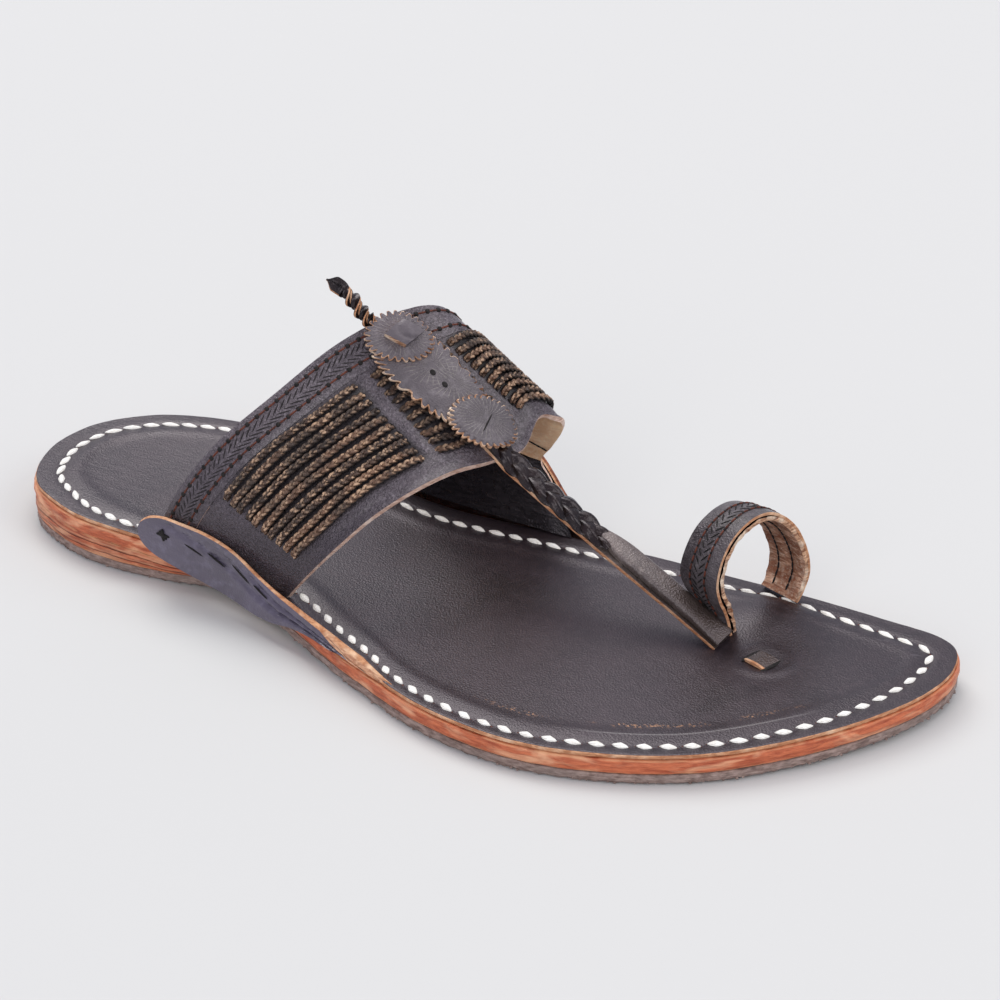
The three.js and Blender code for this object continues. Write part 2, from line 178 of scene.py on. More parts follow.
class Finish:  # one material
    def __init__(self, name, **constants):
        self.material = bpy.data.materials.new(name)
        self.material.use_nodes = True
        self.tree = self.material.node_tree
        self.shader = self.tree.nodes["Principled BSDF"]
        self.feed(self.shader, {socket.replace("_", " "): value for socket, value in constants.items()})
        self.place = self.node("TexCoord", output="Object")
        self.cover = self.node("TexCoord", output="UV")

    def node(self, kind, settings=None, values=None, output=0):
        made = self.tree.nodes.new("ShaderNode" + kind)
        for key, value in (settings or {}).items():
            setattr(made, key, value)
        self.feed(made, values or {})
        return Wire(self, made.outputs[output])

    def feed(self, made, values):
        for key, value in values.items():
            if isinstance(value, Wire):
                self.tree.links.new(value.socket, made.inputs[key])
            else:
                made.inputs[key].default_value = value

    def mapped(self, stretch, turn=0):  # turn in degrees about z
        return self.node("Mapping", {}, {
            "Vector": self.place, "Scale": stretch, "Rotation": (0, 0, math.radians(turn)),
        })

    def noise(self, size, detail=3, stretch=(1, 1, 1), distortion=0, rough=0.5, turn=0):  # size in mm
        return self.node("TexNoise", {}, {
            "Vector": self.mapped(stretch, turn), "Scale": 1000 / size, "Detail": detail, "Roughness": rough,
            "Distortion": distortion,
        })

    def cells(self, size, feature, stretch=(1, 1, 1)):
        values = {"Vector": self.mapped(stretch), "Scale": 1000 / size}
        return self.node("TexVoronoi", {"feature": feature}, values)

    def step(self, value, low, high, to=(0, 1)):
        return self.node("MapRange", {"interpolation_type": "SMOOTHSTEP"}, {
            "Value": value, "From Min": low, "From Max": high, "To Min": to[0], "To Max": to[1],
        })

    def band(self, value, middle, width):  # 1 at the middle, 0 a width away
        away = self.node("Math", {"operation": "ABSOLUTE"}, {0: value - middle})
        return self.step(away, 0, width, (1, 0))

    def sine(self, value):
        return self.node("Math", {"operation": "SINE"}, {0: value})

    def blend(self, share, first, second):
        return self.node("Mix", {"data_type": "RGBA"}, {0: share, 6: first, 7: second}, output=2)

    def tint(self, color, share, *shade):
        return self.blend(share, color, tone(*shade))

    def layered(self, tones, body, lights):  # dark to base with body, light where lights is 1
        base, light, dark = (tone(*shade) for shade in tones)
        return self.blend(lights, self.blend(body, dark, base), light)

    def attribute(self, name):
        return self.node("Attribute", {"attribute_name": name}, output=2)

    def axis(self, source, name):
        return self.node("SeparateXYZ", {}, {0: source}, output="XYZ".index(name))

    def bump(self, height, depth, under=None):  # depth in mm
        values = {"Height": height, "Distance": depth / 1000, "Strength": 1.0}
        if under is not None:
            values["Normal"] = under
        return self.node("Bump", {}, values)

    def close(self, color, roughness, normal):
        self.feed(self.shader, {"Base Color": color, "Roughness": roughness, "Normal": normal})
        return self.material


def leatherFinish(name, tones, roughness, grain, wrinkle, turn, gloss, mirror, extra=None):
    f = Finish(
        name, Coat_Weight=gloss, Coat_Roughness=0.27, IOR=1.5, Specular_IOR_Level=mirror,
        Specular_Tint=(1, 0.88, 1, 1),
    )
    patches = f.noise(24, 4, distortion=0.6)
    mottling = f.noise(2.6, 4)
    color = f.layered(tones, f.step(patches, 0.3, 0.72), f.step(mottling, 0.45, 0.85) * 0.5)
    shine = 0.12 * (mottling - 0.5) + 0.14 * (patches - 0.5) + roughness
    creases = f.noise(3.2, 4, (0.35, 1.5, 1), 1.2, 0.55, turn)
    normal = f.bump(f.cells(0.55, "F1"), grain, f.bump(creases, wrinkle))
    if extra:
        color, shine, normal = extra(f, color, shine, normal)
    return f.close(color, shine, normal)


def insoleWear(f, color, shine, normal):  # worn specks, a pale line and pale streaks on the ridge along its rim, creased along its rim and at the heel
    inset = f.attribute("inset")
    along = f.axis(f.place, "X")
    side = f.axis(f.place, "Y")
    lateral = f.step(side, -0.012, -0.02)
    forefoot = f.step(along, 0.03, 0.05) * lateral
    specks = f.step(f.noise(0.9, 3), 0.54, 0.6) * f.step(f.noise(7, 2), 0.4, 0.62)
    specks = specks * f.band(inset, 13.5, 1.5) * forefoot
    color = f.tint(color, specks * 0.85, 178, 132, 96)
    paleLine = f.band(inset, 9.2, 0.5) * f.step(along, 0.055, 0.075) * f.step(along, 0.125, 0.105) * lateral
    color = f.tint(color, paleLine * 0.4, 150, 146, 146)
    streaks = f.step(f.noise(1.4, 4, (0.3, 1.4, 1), 1.0), 0.5, 0.75)
    ridge = f.band(inset, 12, 3.2) * f.step(side, 0.012, 0.022) * f.step(along, 0.06, 0.1)
    color = f.tint(color, streaks * ridge * 0.45, 122, 115, 122)
    hollow = f.step(along, -0.07, -0.11)
    wrinkles = f.noise(4.2, 4, (0.25, 1.6, 1), 1.6, 0.6, 70)
    normal = f.bump(wrinkles * hollow, 0.13, normal)
    fine = f.noise(1.5, 3, (0.3, 1.5, 1), 1.2, 0.6, 12)
    normal = f.bump(fine * f.step(inset, 16, 8), 0.08, normal)
    return f.tint(color, f.step(inset, 0.9, 0.2) * 0.6, 58, 50, 52), shine - 0.05 * hollow, normal


def strapShade(f, color, shine, normal):  # painted shade darkens it towards the sole and under the cords, its wrinkles and pebbles carry painted highlights and shade, finely wrinkled beside the cords
    height = f.axis(f.place, "Z")
    # painted shade: darker towards the sole, where less light falls from above
    low = f.step(height + (f.noise(30, 2) - 0.5) * 0.02, 0.046, 0.022)
    color = f.tint(color, low * 0.88, 50, 43, 51)
    wrinkles = f.noise(1.3, 4, (1.6, 0.5, 0.5), 1.5, 0.6)
    # painted highlight on the wrinkles' crests, painted shade in their troughs
    color = f.tint(color, f.step(wrinkles, 0.58, 0.76) * 0.4, 136, 129, 134)
    color = f.tint(color, f.step(wrinkles, 0.46, 0.32) * 0.5, 46, 41, 45)
    pebbles = f.step(f.cells(1.15, "DISTANCE_TO_EDGE", (1.3, 0.8, 0.8)), 0.02, 0.3)
    # painted shade in the grooves between the pebbles
    color = f.tint(color, (1 - pebbles) * 0.3, 58, 52, 57)
    grains = f.noise(0.6, 2, (1, 0.7, 0.7))
    # painted glints as light specks, kept off the painted shade near the sole; then darker specks in the
    # grain
    color = f.tint(color, f.step(grains, 0.52, 0.72) * (1 - low) * 0.34, 150, 143, 150)
    color = f.tint(color, f.step(grains, 0.46, 0.34) * 0.5, 42, 37, 41)
    # painted shadow: near-black on the strap under and between the cords
    cordShadow = f.attribute("cordShadow")
    color = f.tint(color, cordShadow * 0.92, 24, 20, 20)
    return color, shine - 0.05 * low + 0.3 * cordShadow, f.bump(wrinkles, 0.5, f.bump(pebbles, 0.1, normal))


def earEnd(f, color, shine, normal):  # the flap is skived to its bare fibres towards the front
    past = f.attribute("past") + (f.noise(3, 3) - 0.5) * 0.16
    bare = f.step(past, -0.02, 0.04)
    fibres = f.noise(1.3, 5, (0.4, 0.4, 1.6), 0.8, 0.65)
    tan = f.blend(f.step(fibres, 0.35, 0.7), tone(178, 118, 82), tone(236, 186, 146))
    tan = f.tint(tan, f.band(past, 0.3, 0.07) * 0.75, 70, 44, 32)
    return f.blend(bare, color, tan), shine + 0.3 * bare, f.bump(fibres * bare, 0.3, normal)


def thongShade(f, color, shine, normal):  # browner and darker towards its foot
    foot = f.step(f.axis(f.place, "X"), 0.05, 0.078)
    return f.tint(color, foot * 0.85, 60, 48, 41), shine, normal


fan = {"span": 50, "heart": (0.9, 1.8)}  # mm that the plate's UV map spans, and where the lines begin


def fanMarks(middles, lines, reach):  # pressed lines round each middle, in the plate's own mm
    def marks(f, color, shine, normal):
        across = f.axis(f.cover, "X") * fan["span"] - fan["span"] / 2
        along = f.axis(f.cover, "Y") * fan["span"] - fan["span"] / 2
        total = None
        for x, y in middles:
            angle = f.node("Math", {"operation": "ARCTAN2"}, {0: along - y, 1: across - x})
            ray = f.step(f.sine(angle * lines), 0.55, 0.98)
            away = f.node("VectorMath", {"operation": "LENGTH"}, {
                0: f.node("CombineXYZ", {}, {0: across - x, 1: along - y}),
            }, output=1)
            part = ray * f.step(away, reach, reach * 0.7) * f.step(away, *fan["heart"])
            total = part if total is None else total.larger(part)
        broken = total * f.step(f.noise(1.6, 2), 0.3, 0.55)
        return f.tint(color, broken * 0.42, 158, 152, 146), shine, f.bump(broken, 0.1, normal)
    return marks


panelTones = ((100, 93, 97), (140, 133, 137), (72, 67, 70))
leathers = {  # base, light and dark tone, roughness, grain, wrinkle, turn, gloss, mirror, what it adds
    "insole": (((41, 32, 36), (59, 48, 53), (27, 21, 24)), 0.41, 0.085, 0.035, 15, 0.1, 0.65, insoleWear),
    "strap": (((100, 91, 97), (140, 131, 140), (76, 68, 75)), 0.35, 0.34, 0.45, 40, 0.45, 0.65, strapShade),
    "ear": (((90, 84, 103), (122, 117, 138), (68, 63, 77)), 0.32, 0.08, 0.3, 20, 0.5, 0.65, earEnd),
    "loop": (((82, 76, 78), (128, 120, 123), (42, 37, 39)), 0.36, 0.26, 0.6, 70, 0.25, 0.5),
    "plait": (((32, 20, 16), (58, 42, 36), (13, 8, 7)), 0.24, 0.05, 0.14, 60, 0.2, 0.35),
    "thong": (((107, 96, 91), (162, 149, 141), (76, 67, 64)), 0.33, 0.2, 0.16, 30, 0.4, 0.65, thongShade),
    "lining": (((15, 12, 14), (30, 25, 28), (9, 7, 8)), 0.26, 0.12, 0.6, 5, 0.2, 0.35),
    "stud": (((88, 82, 87), (122, 116, 120), (68, 63, 67)), 0.5, 0.06, 0.06, 10, 0.15, 0.65),
    "panel": (panelTones, 0.46, 0.2, 0.12, 30, 0.25, 0.65, fanMarks(((1.2, -3.4), (2.4, 3.2)), 26, 7.5)),
    "rearRosette": (panelTones, 0.46, 0.2, 0.12, 30, 0.25, 0.65, fanMarks(((0, 0),), 34, 7.5)),
    "frontRosette": (panelTones, 0.46, 0.2, 0.12, 30, 0.25, 0.65, fanMarks(((0.5, -0.5),), 36, 8.5)),
}
leather = {name: leatherFinish(f"{name}Leather", *row) for name, row in leathers.items()}


def cutEdgeFinish(name, tones, streak=0.6):
    f = Finish(name, Specular_IOR_Level=0.3)
    fibres = f.noise(1.3, 5, (0.4, 0.4, 1.6), 0.8, 0.65)
    color = f.layered(tones, f.step(fibres, 0.35, 0.7), f.step(f.noise(5, 3), 0.45, 0.75) * streak)
    return f.close(color, f.noise(2, 3) * 0.2 + 0.62, f.bump(fibres, 0.35))


cutEdge = cutEdgeFinish("cutEdge", ((222, 168, 128), (246, 214, 182), (168, 110, 76)))
strapEdge = cutEdgeFinish("strapEdge", ((236, 208, 192), (252, 236, 224), (176, 136, 118)))
toothEdge = cutEdgeFinish("toothEdge", ((244, 200, 164), (255, 238, 216), (130, 82, 58)), 0.8)
rustEdge = cutEdgeFinish("rustEdge", ((150, 84, 56), (196, 128, 94), (92, 46, 32)))


def fleshFinish(name, tones, creaseDepthAndShade):
    f = Finish(name, Specular_IOR_Level=0.25)
    nap = f.noise(1.1, 5, rough=0.7)
    patches = f.noise(8, 4, distortion=0.8)
    color = f.layered(tones, f.step(patches, 0.35, 0.7), f.step(nap, 0.45, 0.75) * 0.6)
    wrinkles = f.noise(1.6, 3, (0.5, 0.5, 2.6), 0.6)
    # painted shade in the creases
    color = f.tint(color, f.step(wrinkles, 0.55, 0.38) * creaseDepthAndShade, *tones[2])
    return f.close(color, f.noise(2, 2) * 0.1 + 0.78, f.bump(nap, 0.25, f.bump(wrinkles, 0.9 * creaseDepthAndShade)))


flesh = fleshFinish("fleshSide", ((255, 220, 182), (255, 240, 214), (226, 182, 142)), 0.3)
loopFlesh = fleshFinish("loopFleshSide", ((253, 208, 178), (255, 242, 224), (146, 94, 70)), 0.8)


def naturalFinish(name, tones, layers):  # sole leather at its edge, a dark line at each of the layers
    f = Finish(name, Specular_IOR_Level=0.4)
    fibres = f.noise(2.2, 6, (0.3, 0.3, 2.2), 0.5, 0.68)
    blotches = f.noise(6, 4, (0.5, 0.5, 1.6), 0.8)
    height = f.attribute("height")
    color = f.layered(tones, f.step(fibres, 0.32, 0.68), f.step(blotches, 0.46, 0.72) * 0.75)
    pale = f.band(height, 0.04, 0.1).larger(f.band(height, 0.97, 0.09)) * f.step(f.noise(5, 2), 0.3, 0.6)
    color = f.tint(color, pale * 0.6, 214, 160, 118)
    normal = f.bump(fibres, 0.5)
    wobble = (f.noise(14, 3, (1, 1, 0.1)) - 0.5) * 0.3 + height
    for middle in layers:
        line = f.band(wobble, middle, 0.045)
        color = f.tint(color, line * 0.75, 70, 44, 34)
        color = f.tint(color, f.band(wobble, middle + 0.1, 0.05) * 0.55, 206, 166, 134)
        normal = f.bump(1 - line, 0.25, normal)
    return f.close(color, f.noise(3, 2) * 0.16 + 0.42, normal)


midsoleEdge = naturalFinish("midsoleEdge", ((218, 122, 82), (246, 188, 148), (162, 74, 46)), ())
heelLiftEdge = naturalFinish("heelLiftEdge", ((210, 118, 80), (246, 190, 150), (146, 68, 44)), (0.3, 0.68))


def rubberFinish(tones):
    f = Finish("soleRubber", Specular_IOR_Level=0.35)
    streaks = f.noise(1.4, 5, (0.5, 0.5, 1.4), rough=0.65)
    color = f.layered(tones, f.step(streaks, 0.3, 0.72), f.step(f.noise(16, 3), 0.45, 0.7) * 0.4)
    lines = f.sine(f.axis(f.place, "Z") * 9000)
    return f.close(color, streaks * 0.15 + 0.7, f.bump(streaks, 0.3, f.bump(lines, 0.04)))


soleRubber = rubberFinish(((174, 152, 144), (142, 128, 123), (112, 92, 86)))


def cordFinish():
    f = Finish("waxedCord", Specular_IOR_Level=0.5)
    around = f.axis(f.cover, "Y")
    along = f.axis(f.cover, "X")
    # litSide is 1 on the side of each strand that light falls on
    litSide = f.sine(around * (2 * math.pi)) * 0.5 + 0.5
    yarn = f.sine(along * 900 + around * 12.6) * 0.5 + 0.5
    patches = f.noise(7, 3)
    body = f.blend(f.attribute("shade"), tone(62, 45, 38), tone(126, 92, 71))
    # painted shade: near-black on the side turned away and into the gaps
    color = f.blend(f.step(litSide, 0.5, 1.0), tone(24, 17, 14), body)
    # painted glint on the lit side
    glint = f.step(litSide, 0.8, 1.0) * f.step(f.noise(1.3, 4), 0.46, 0.62)
    color = f.tint(color, glint * 0.8, 204, 168, 138)
    color = f.tint(color, f.step(patches, 0.42, 0.64) * 0.72, 40, 32, 30)
    return f.close(color, patches * 0.15 + 0.34, f.bump(yarn, 0.09))


waxedCord = cordFinish()


def threadFinish(name, base, dark):
    f = Finish(name, Specular_IOR_Level=0.3)
    twist = f.sine(f.axis(f.cover, "X") * 60 + f.axis(f.cover, "Y") * 18) * 0.5 + 0.5
    color = f.blend(f.step(f.noise(1.2, 3), 0.3, 0.6), tone(*dark), tone(*base))
    return f.close(color, twist * 0.1 + 0.6, f.bump(twist, 0.06))


whiteThread = threadFinish("whiteThread", (250, 248, 244), (232, 228, 222))
brownThread = threadFinish("brownThread", (112, 60, 46), (56, 32, 27))
cutShade = threadFinish("cutShade", (54, 48, 51), (38, 34, 36))
# black thread, also used as painted shade in holes, slots and cuts
blackThreadAndShade = threadFinish("blackThreadAndShade", (34, 30, 30), (18, 16, 16))
print("finishes")


# ---- making pieces

sharpAngle = 50
weld = 0.0004  # points closer than this become one


def newMesh():
    bm = bmesh.new()
    bm.loops.layers.uv.new("UVMap")
    return bm


def makePiece(name, bm, finishes, nodes=()):
    bmesh.ops.recalc_face_normals(bm, faces=bm.faces)
    bmesh.ops.transform(bm, matrix=toFrame, verts=bm.verts)
    mesh = bpy.data.meshes.new(name)
    bm.to_mesh(mesh)
    bm.free()
    for finish in finishes:
        mesh.materials.append(finish)
    mesh.shade_smooth()
    mesh.set_sharp_from_angle(angle=math.radians(sharpAngle))
    piece = bpy.data.objects.new(name, mesh)
    scene.collection.objects.link(piece)
    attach(piece, "root")
    if nodes:
        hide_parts(*nodes)
    return piece


# A ring of points drawn along a path. place(share, item) gives a point and its attributes. item is an entry
# of the ring, whose last value is the number of its finish, or gives that number from share.
def sweep(bm, columns, ring, place, capped=True, closed=True, looped=False, fields=()):
    rows = len(ring) if closed else len(ring) - 1
    layers = [bm.verts.layers.float.get(name) or bm.verts.layers.float.new(name) for name in fields]
    made = bmesh.ops.create_grid(bm, x_segments=columns, y_segments=rows, size=0.5, calc_uvs=True)["verts"]
    faces = {face for vert in made for face in vert.link_faces}
    for face in faces:
        middle = face.calc_center_median()
        finish = ring[int((middle.y + 0.5) * rows) % len(ring)][-1]
        face.material_index = finish(middle.x + 0.5) if callable(finish) else finish
    for vert in made:
        column = round((vert.co.x + 0.5) * columns)
        item = ring[round((vert.co.y + 0.5) * rows) % len(ring)]
        share = (column % columns if looped else column) / columns
        vert.co, *values = place(share, item)
        for layer, value in zip(layers, values):
            vert[layer] = value
    bmesh.ops.remove_doubles(bm, verts=made, dist=weld)
    if capped:
        bmesh.ops.holes_fill(bm, edges=[edge for edge in bm.edges if edge.is_boundary], sides=0)


def roundRing(sides):
    return [(math.cos(2 * math.pi * i / sides), math.sin(2 * math.pi * i / sides), 0) for i in range(sides)]


def hermite(a, m, b, n, t):  # from a, leaving by m, to b, arriving by n
    square, cube = t * t, t ** 3
    start = a * (2 * cube - 3 * square + 1) + m * (cube - 2 * square + t)
    return start + b * (3 * square - 2 * cube) + n * (cube - square)


def openCurve(points, share):  # even Catmull-Rom curve through a row of points
    count = len(points)
    place = min(1, max(0, share)) * (count - 1)
    i = min(count - 2, int(place))
    first = points[i - 1] if i > 0 else points[0] * 2 - points[1]
    last = points[i + 2] if i + 2 < count else points[-1] * 2 - points[-2]
    a, b = points[i], points[i + 1]
    return hermite(a, (b - first) / 2, b, (last - a) / 2, place - i)


def frameAt(curve, share, up):  # place, forward, side, up on a curve
    at = curve(share)
    forward = (curve(min(1, share + 0.004)) - curve(max(0, share - 0.004))).normalized()
    side = up.cross(forward).normalized()
    return at, forward, side, forward.cross(side)


# small rounded seed shape, a stitch, slit or nib of length, width and height; point makes its ends pointed
def seed(bm, at, along, up, size, sides=6, rings=4, point=0.0):
    side = up.cross(along).normalized()
    up = along.cross(side).normalized()
    turn = Matrix((along.normalized(), side, up)).transposed().to_4x4()
    scale = Matrix.Diagonal((size[0] / 2, size[1] / 2, size[2] / 2, 1))
    ball = bmesh.ops.create_uvsphere(bm, u_segments=sides, v_segments=rings, radius=1, calc_uvs=True)["verts"]
    for vert in ball if point else ():
        t = min(0.98, abs(vert.co.z))
        thin = mix(1, (1 - t) ** 0.7 / (1 - t * t) ** 0.5, point)
        vert.co.x *= thin
        vert.co.y *= thin
    matrix = Matrix.Translation(at) @ turn @ scale @ Matrix.Rotation(math.pi / 2, 4, "Y")
    bmesh.ops.transform(bm, matrix=matrix, verts=ball)


def stroke(bm, a, b, up, size, rings=4, point=0.0):  # a seed that lies from a to b
    seed(bm, (a + b) / 2, (b - a).normalized(), up, size, 6, rings, point)


# ---- the sole's outline and heights

sole = {  # square is how far in a row still follows the rim, before it heads for the middle line
    "outsole": 2.9, "midsole": 4, "insole": 1.2, "wedge": 5.6, "wedgeFrom": 42, "wedgeTo": 92, "wedgeEnd": 84,
    "arch": 2.4, "archFrom": 58, "archPeak": 92, "archTo": 135, "springFrom": 215, "spring": 2.0,
    "stations": 230, "heelSpine": 27, "toeSpine": 250, "square": 0.6,
}
heelTip = Vector((-1.8, 2, 0))
toeTip = Vector((286.6, -2.5, 0))
rimRows = (  # x, lateral y, medial y of the insole's rim
    (0.5, -10, 15), (4.6, -18.5, 22.1), (9.4, -24, 27), (17, -28.8, 32.6), (30, -34.3, 37), (45, -36.6, 39),
    (60, -36.3, 38), (78, -36.2, 33.6), (95, -41.6, 28.9), (115, -51.6, 25), (140, -64.5, 24.2),
    (164, -75, 24.3), (189, -79.5, 23.6), (210, -77, 22.3), (238, -65.8, 20.3), (263, -45, 16.3),
    (279, -24.3, 12.6), (284.8, -12, 7.4),
)
rimPoints = [heelTip, *(Vector((x, y, 0)) for x, y, _ in rimRows), toeTip]
rimPoints += [Vector((x, y, 0)) for x, _, y in rimRows[::-1]]


def rimCurve(share):  # closed centripetal Catmull-Rom curve
    count = len(rimPoints)
    place = share * count
    i = int(place)
    t = place - i
    p = [rimPoints[(i + k) % count] for k in (-1, 0, 1, 2)]
    d = [(p[k + 1] - p[k]).length ** 0.5 for k in range(3)]
    m = ((p[1] - p[0]) / d[0] - (p[2] - p[0]) / (d[0] + d[1]) + (p[2] - p[1]) / d[1]) * d[1]
    n = ((p[2] - p[1]) / d[1] - (p[3] - p[1]) / (d[1] + d[2]) + (p[3] - p[2]) / d[2]) * d[1]
    return hermite(p[1], m, p[2], n, t)


halfRim = [0.5 * i / 1500 for i in range(1501)]
rimTables = {
    "lateral": [tuple(rimCurve(share))[:2] for share in halfRim],
    "medial": [tuple(rimCurve(1 - share - 1e-9))[:2] for share in halfRim],
}


def rimY(side, x):
    return fromTable(rimTables[side], min(toeTip.x, max(heelTip.x, x)))


def makeStations():
    count = sole["stations"]
    xs = [mix(heelTip.x, toeTip.x, (1 - math.cos(math.pi * k / count)) / 2) for k in range(count + 1)]
    loop = [("lateral", x) for x in xs] + [("medial", x) for x in xs[-2:0:-1]]
    points = [Vector((x, rimY(side, x), 0)) for side, x in loop]
    made = []
    length = 0
    for i, (side, x) in enumerate(loop):
        run = points[(i + 1) % len(points)] - points[i - 1]
        out = Vector((run.y, -run.x, 0)).normalized()
        spineX = mix(sole["heelSpine"], sole["toeSpine"], (x - heelTip.x) / (toeTip.x - heelTip.x))
        spine = Vector((spineX, (rimY("lateral", spineX) + rimY("medial", spineX)) / 2, 0))
        length += (points[i] - points[i - 1]).length if i else 0
        made.append({"at": points[i], "out": out, "spine": spine, "side": side, "length": length})
    return made


stations = makeStations()


def floorLift(x):
    arch = smoothstep(x, sole["archFrom"], sole["archPeak"]) - smoothstep(x, sole["archPeak"], sole["archTo"])
    spring = max(0, (x - sole["springFrom"]) / (toeTip.x - sole["springFrom"]))
    return sole["arch"] * arch + sole["spring"] * spring ** 2


def wedge(x):
    return sole["wedge"] * fade(x, sole["wedgeFrom"], sole["wedgeTo"])


def outsoleTop(x):
    return floorLift(x) + sole["outsole"]


def midsoleBottom(x):
    return outsoleTop(x) + gap + wedge(x)


def midsoleTop(x):
    return midsoleBottom(x) + sole["midsole"]


def insoleTop(x):
    return midsoleTop(x) + gap + sole["insole"]


def tuck(side, x):  # the insole gives way at the front of each ear
    if side == "lateral":
        return 3.3 * smoothstep(x, 112, 134) * fade(x, 137, 152)
    return 0.6 * smoothstep(x, 150, 172) * fade(x, 182, 192)


# Layer of the sole. A row is inset from the rim in mm, share of the way on to the middle line, height share
# between bottom and top, and the number of its finish.
def soleLayer(name, rows, bottom, top, finishes, node, relief, trim=False):
    bm = newMesh()

    def place(share, row):
        station = stations[round(share * len(stations)) % len(stations)]
        inset, inward, height, _ = row
        rimX = station["at"].x
        give = tuck(station["side"], rimX) if trim else 0
        point = station["at"] - station["out"] * (min(inset, sole["square"]) + give * (1 - inward))
        rest = max(0, inset - sole["square"]) / (station["spine"] - point).length
        point = point.lerp(station["spine"], min(1, mix(rest, 1, inward)))
        depth = (point - station["at"]).length
        point.z = mix(bottom(point.x), top(point.x), height)
        return relief(point, depth, height, station), depth, height

    sweep(bm, len(stations), rows, place, capped=False, closed=False, looped=True, fields=("inset", "height"))
    makePiece(name, bm, finishes, [node])


# ---- rubber outsole

outsoleLook = {"outward": 0.5, "saw": 0.75, "sawPitch": 2.9, "nibs": 170, "seed": 11}


def outsoleRelief(point, depth, height, station):
    rough = uneven(point, 2.2) + 0.5 * uneven(point, 0.9, 1)
    if depth < 3:
        turns = station["length"] * 2 * math.pi / outsoleLook["sawPitch"]
        saw = 0.5 + 0.5 * math.sin(turns + 2 * uneven(point, 9))
        edge = max(0, 1 - height * 3.2)
        point -= station["out"] * (outsoleLook["saw"] * edge * saw - 0.14 * rough)
        point.z += 0.35 * edge * max(0, saw - 0.3) * (1 if height < 0.05 else 0.5)
    return point


def makeOutsole():
    out = -outsoleLook["outward"]
    rows = [(0, 1, 0, 0), (4, 0, 0, 0), (out + 1.0, 0, 0, 0), (out + 0.3, 0, 0.02, 0), (out, 0, 0.12, 0)]
    rows += [(out - 0.06 * math.sin(math.pi * h), 0, h, 0) for h in (0.25, 0.4, 0.55, 0.7, 0.85)]
    rows += [(out + 0.15, 0, 0.97, 0), (out + 0.5, 0, 1, 0), (4, 0, 1, 0), (0, 1, 1, 0)]
    soleLayer("outsole_rubber", rows, floorLift, outsoleTop, [soleRubber], "outsole", outsoleRelief)


def makeNibs():  # rubber left standing where the edge was trimmed
    random.seed(outsoleLook["seed"])
    bm = newMesh()
    for _ in range(outsoleLook["nibs"]):
        station = stations[random.randrange(len(stations))]
        at = station["at"] + station["out"] * random.uniform(0.1, 0.5)
        at.z = floorLift(at.x) + random.uniform(0.35, 0.8)
        size = (random.uniform(0.6, 1.3), random.uniform(0.5, 1.2), random.uniform(0.4, 0.8))
        seed(bm, at, station["out"], upward, size)
    makePiece("outsole_nibs", bm, [soleRubber])


makeOutsole()
makeNibs()
print("outsole")


# ---- heel lift and midsole of natural leather

def edgeRelief(amount, size):
    def relief(point, depth, height, station):
        if depth < 3:
            flat = Vector((point.x, point.y, point.z * 3.4))
            point += station["out"] * (amount * (uneven(flat, size) + 0.5 * uneven(flat, size / 2.5, 2)))
        return point
    return relief


def edgeRows(out, bulge):  # rows round a layer whose edge bulges between its corners
    heights = [0.06 + 0.88 * i / 8 for i in range(9)]
    rows = [(0, 1, 0, 0), (5, 0, 0, 0), (out + 0.5, 0, 0, 0)]
    rows += [(out + bulge * (1 - math.sin(math.pi * h)), 0, h, 0) for h in heights]
    return rows + [(out + 0.5, 0, 1, 0), (5, 0, 1, 0), (0, 1, 1, 0)]


def liftTop(x):
    return max(outsoleTop(x) + 0.12, midsoleBottom(x) - (0.12 if x < sole["wedgeEnd"] else 0.16))


def makeHeelLift():
    def relief(point, depth, height, station):
        point = edgeRelief(0.16, 3.2)(point, depth, height, station)
        past = smoothstep(station["at"].x, 80, 90)
        return point - station["out"] * past * 3 if depth < 5 else point
    soleLayer(
        "heel_lift_leather", edgeRows(-0.75, 0.45), lambda x: outsoleTop(x) + 0.1, liftTop, [heelLiftEdge],
        "heel_lift", relief,
    )


def makeMidsole():
    soleLayer(
        "midsole_leather", edgeRows(-0.8, 0.4), midsoleBottom, midsoleTop, [midsoleEdge],
        "midsole", edgeRelief(0.2, 3.5),
    )


makeHeelLift()
makeMidsole()
print("heel lift and midsole")


# ---- insole

stitchInsets = {  # distance of the rim stitches from the rim at x
    "lateral": (
        (-2, 7.5), (12, 7.4), (23, 6.3), (34, 5.2), (46, 4.2), (80, 4.6), (100, 6.5), (113, 6.9),
        (124, 5.8), (136, 5.2), (147, 4), (157, 3.8), (190, 3.8), (213, 4.3), (256, 4.1), (268, 4.9),
        (278, 6.2), (286, 7.4),
    ),
    "medial": (
        (-2, 7.5), (17, 7.1), (40, 6.8), (111, 7.2), (174, 7.4), (240, 5.9), (264, 7), (275, 8.2),
        (286, 7.4),
    ),
}
insoleLook = {"ridge": 0.45, "bump": 3.0, "bumpAt": (231.5, 4.5), "bumpSize": (11, 12), "tabDent": 0.5}


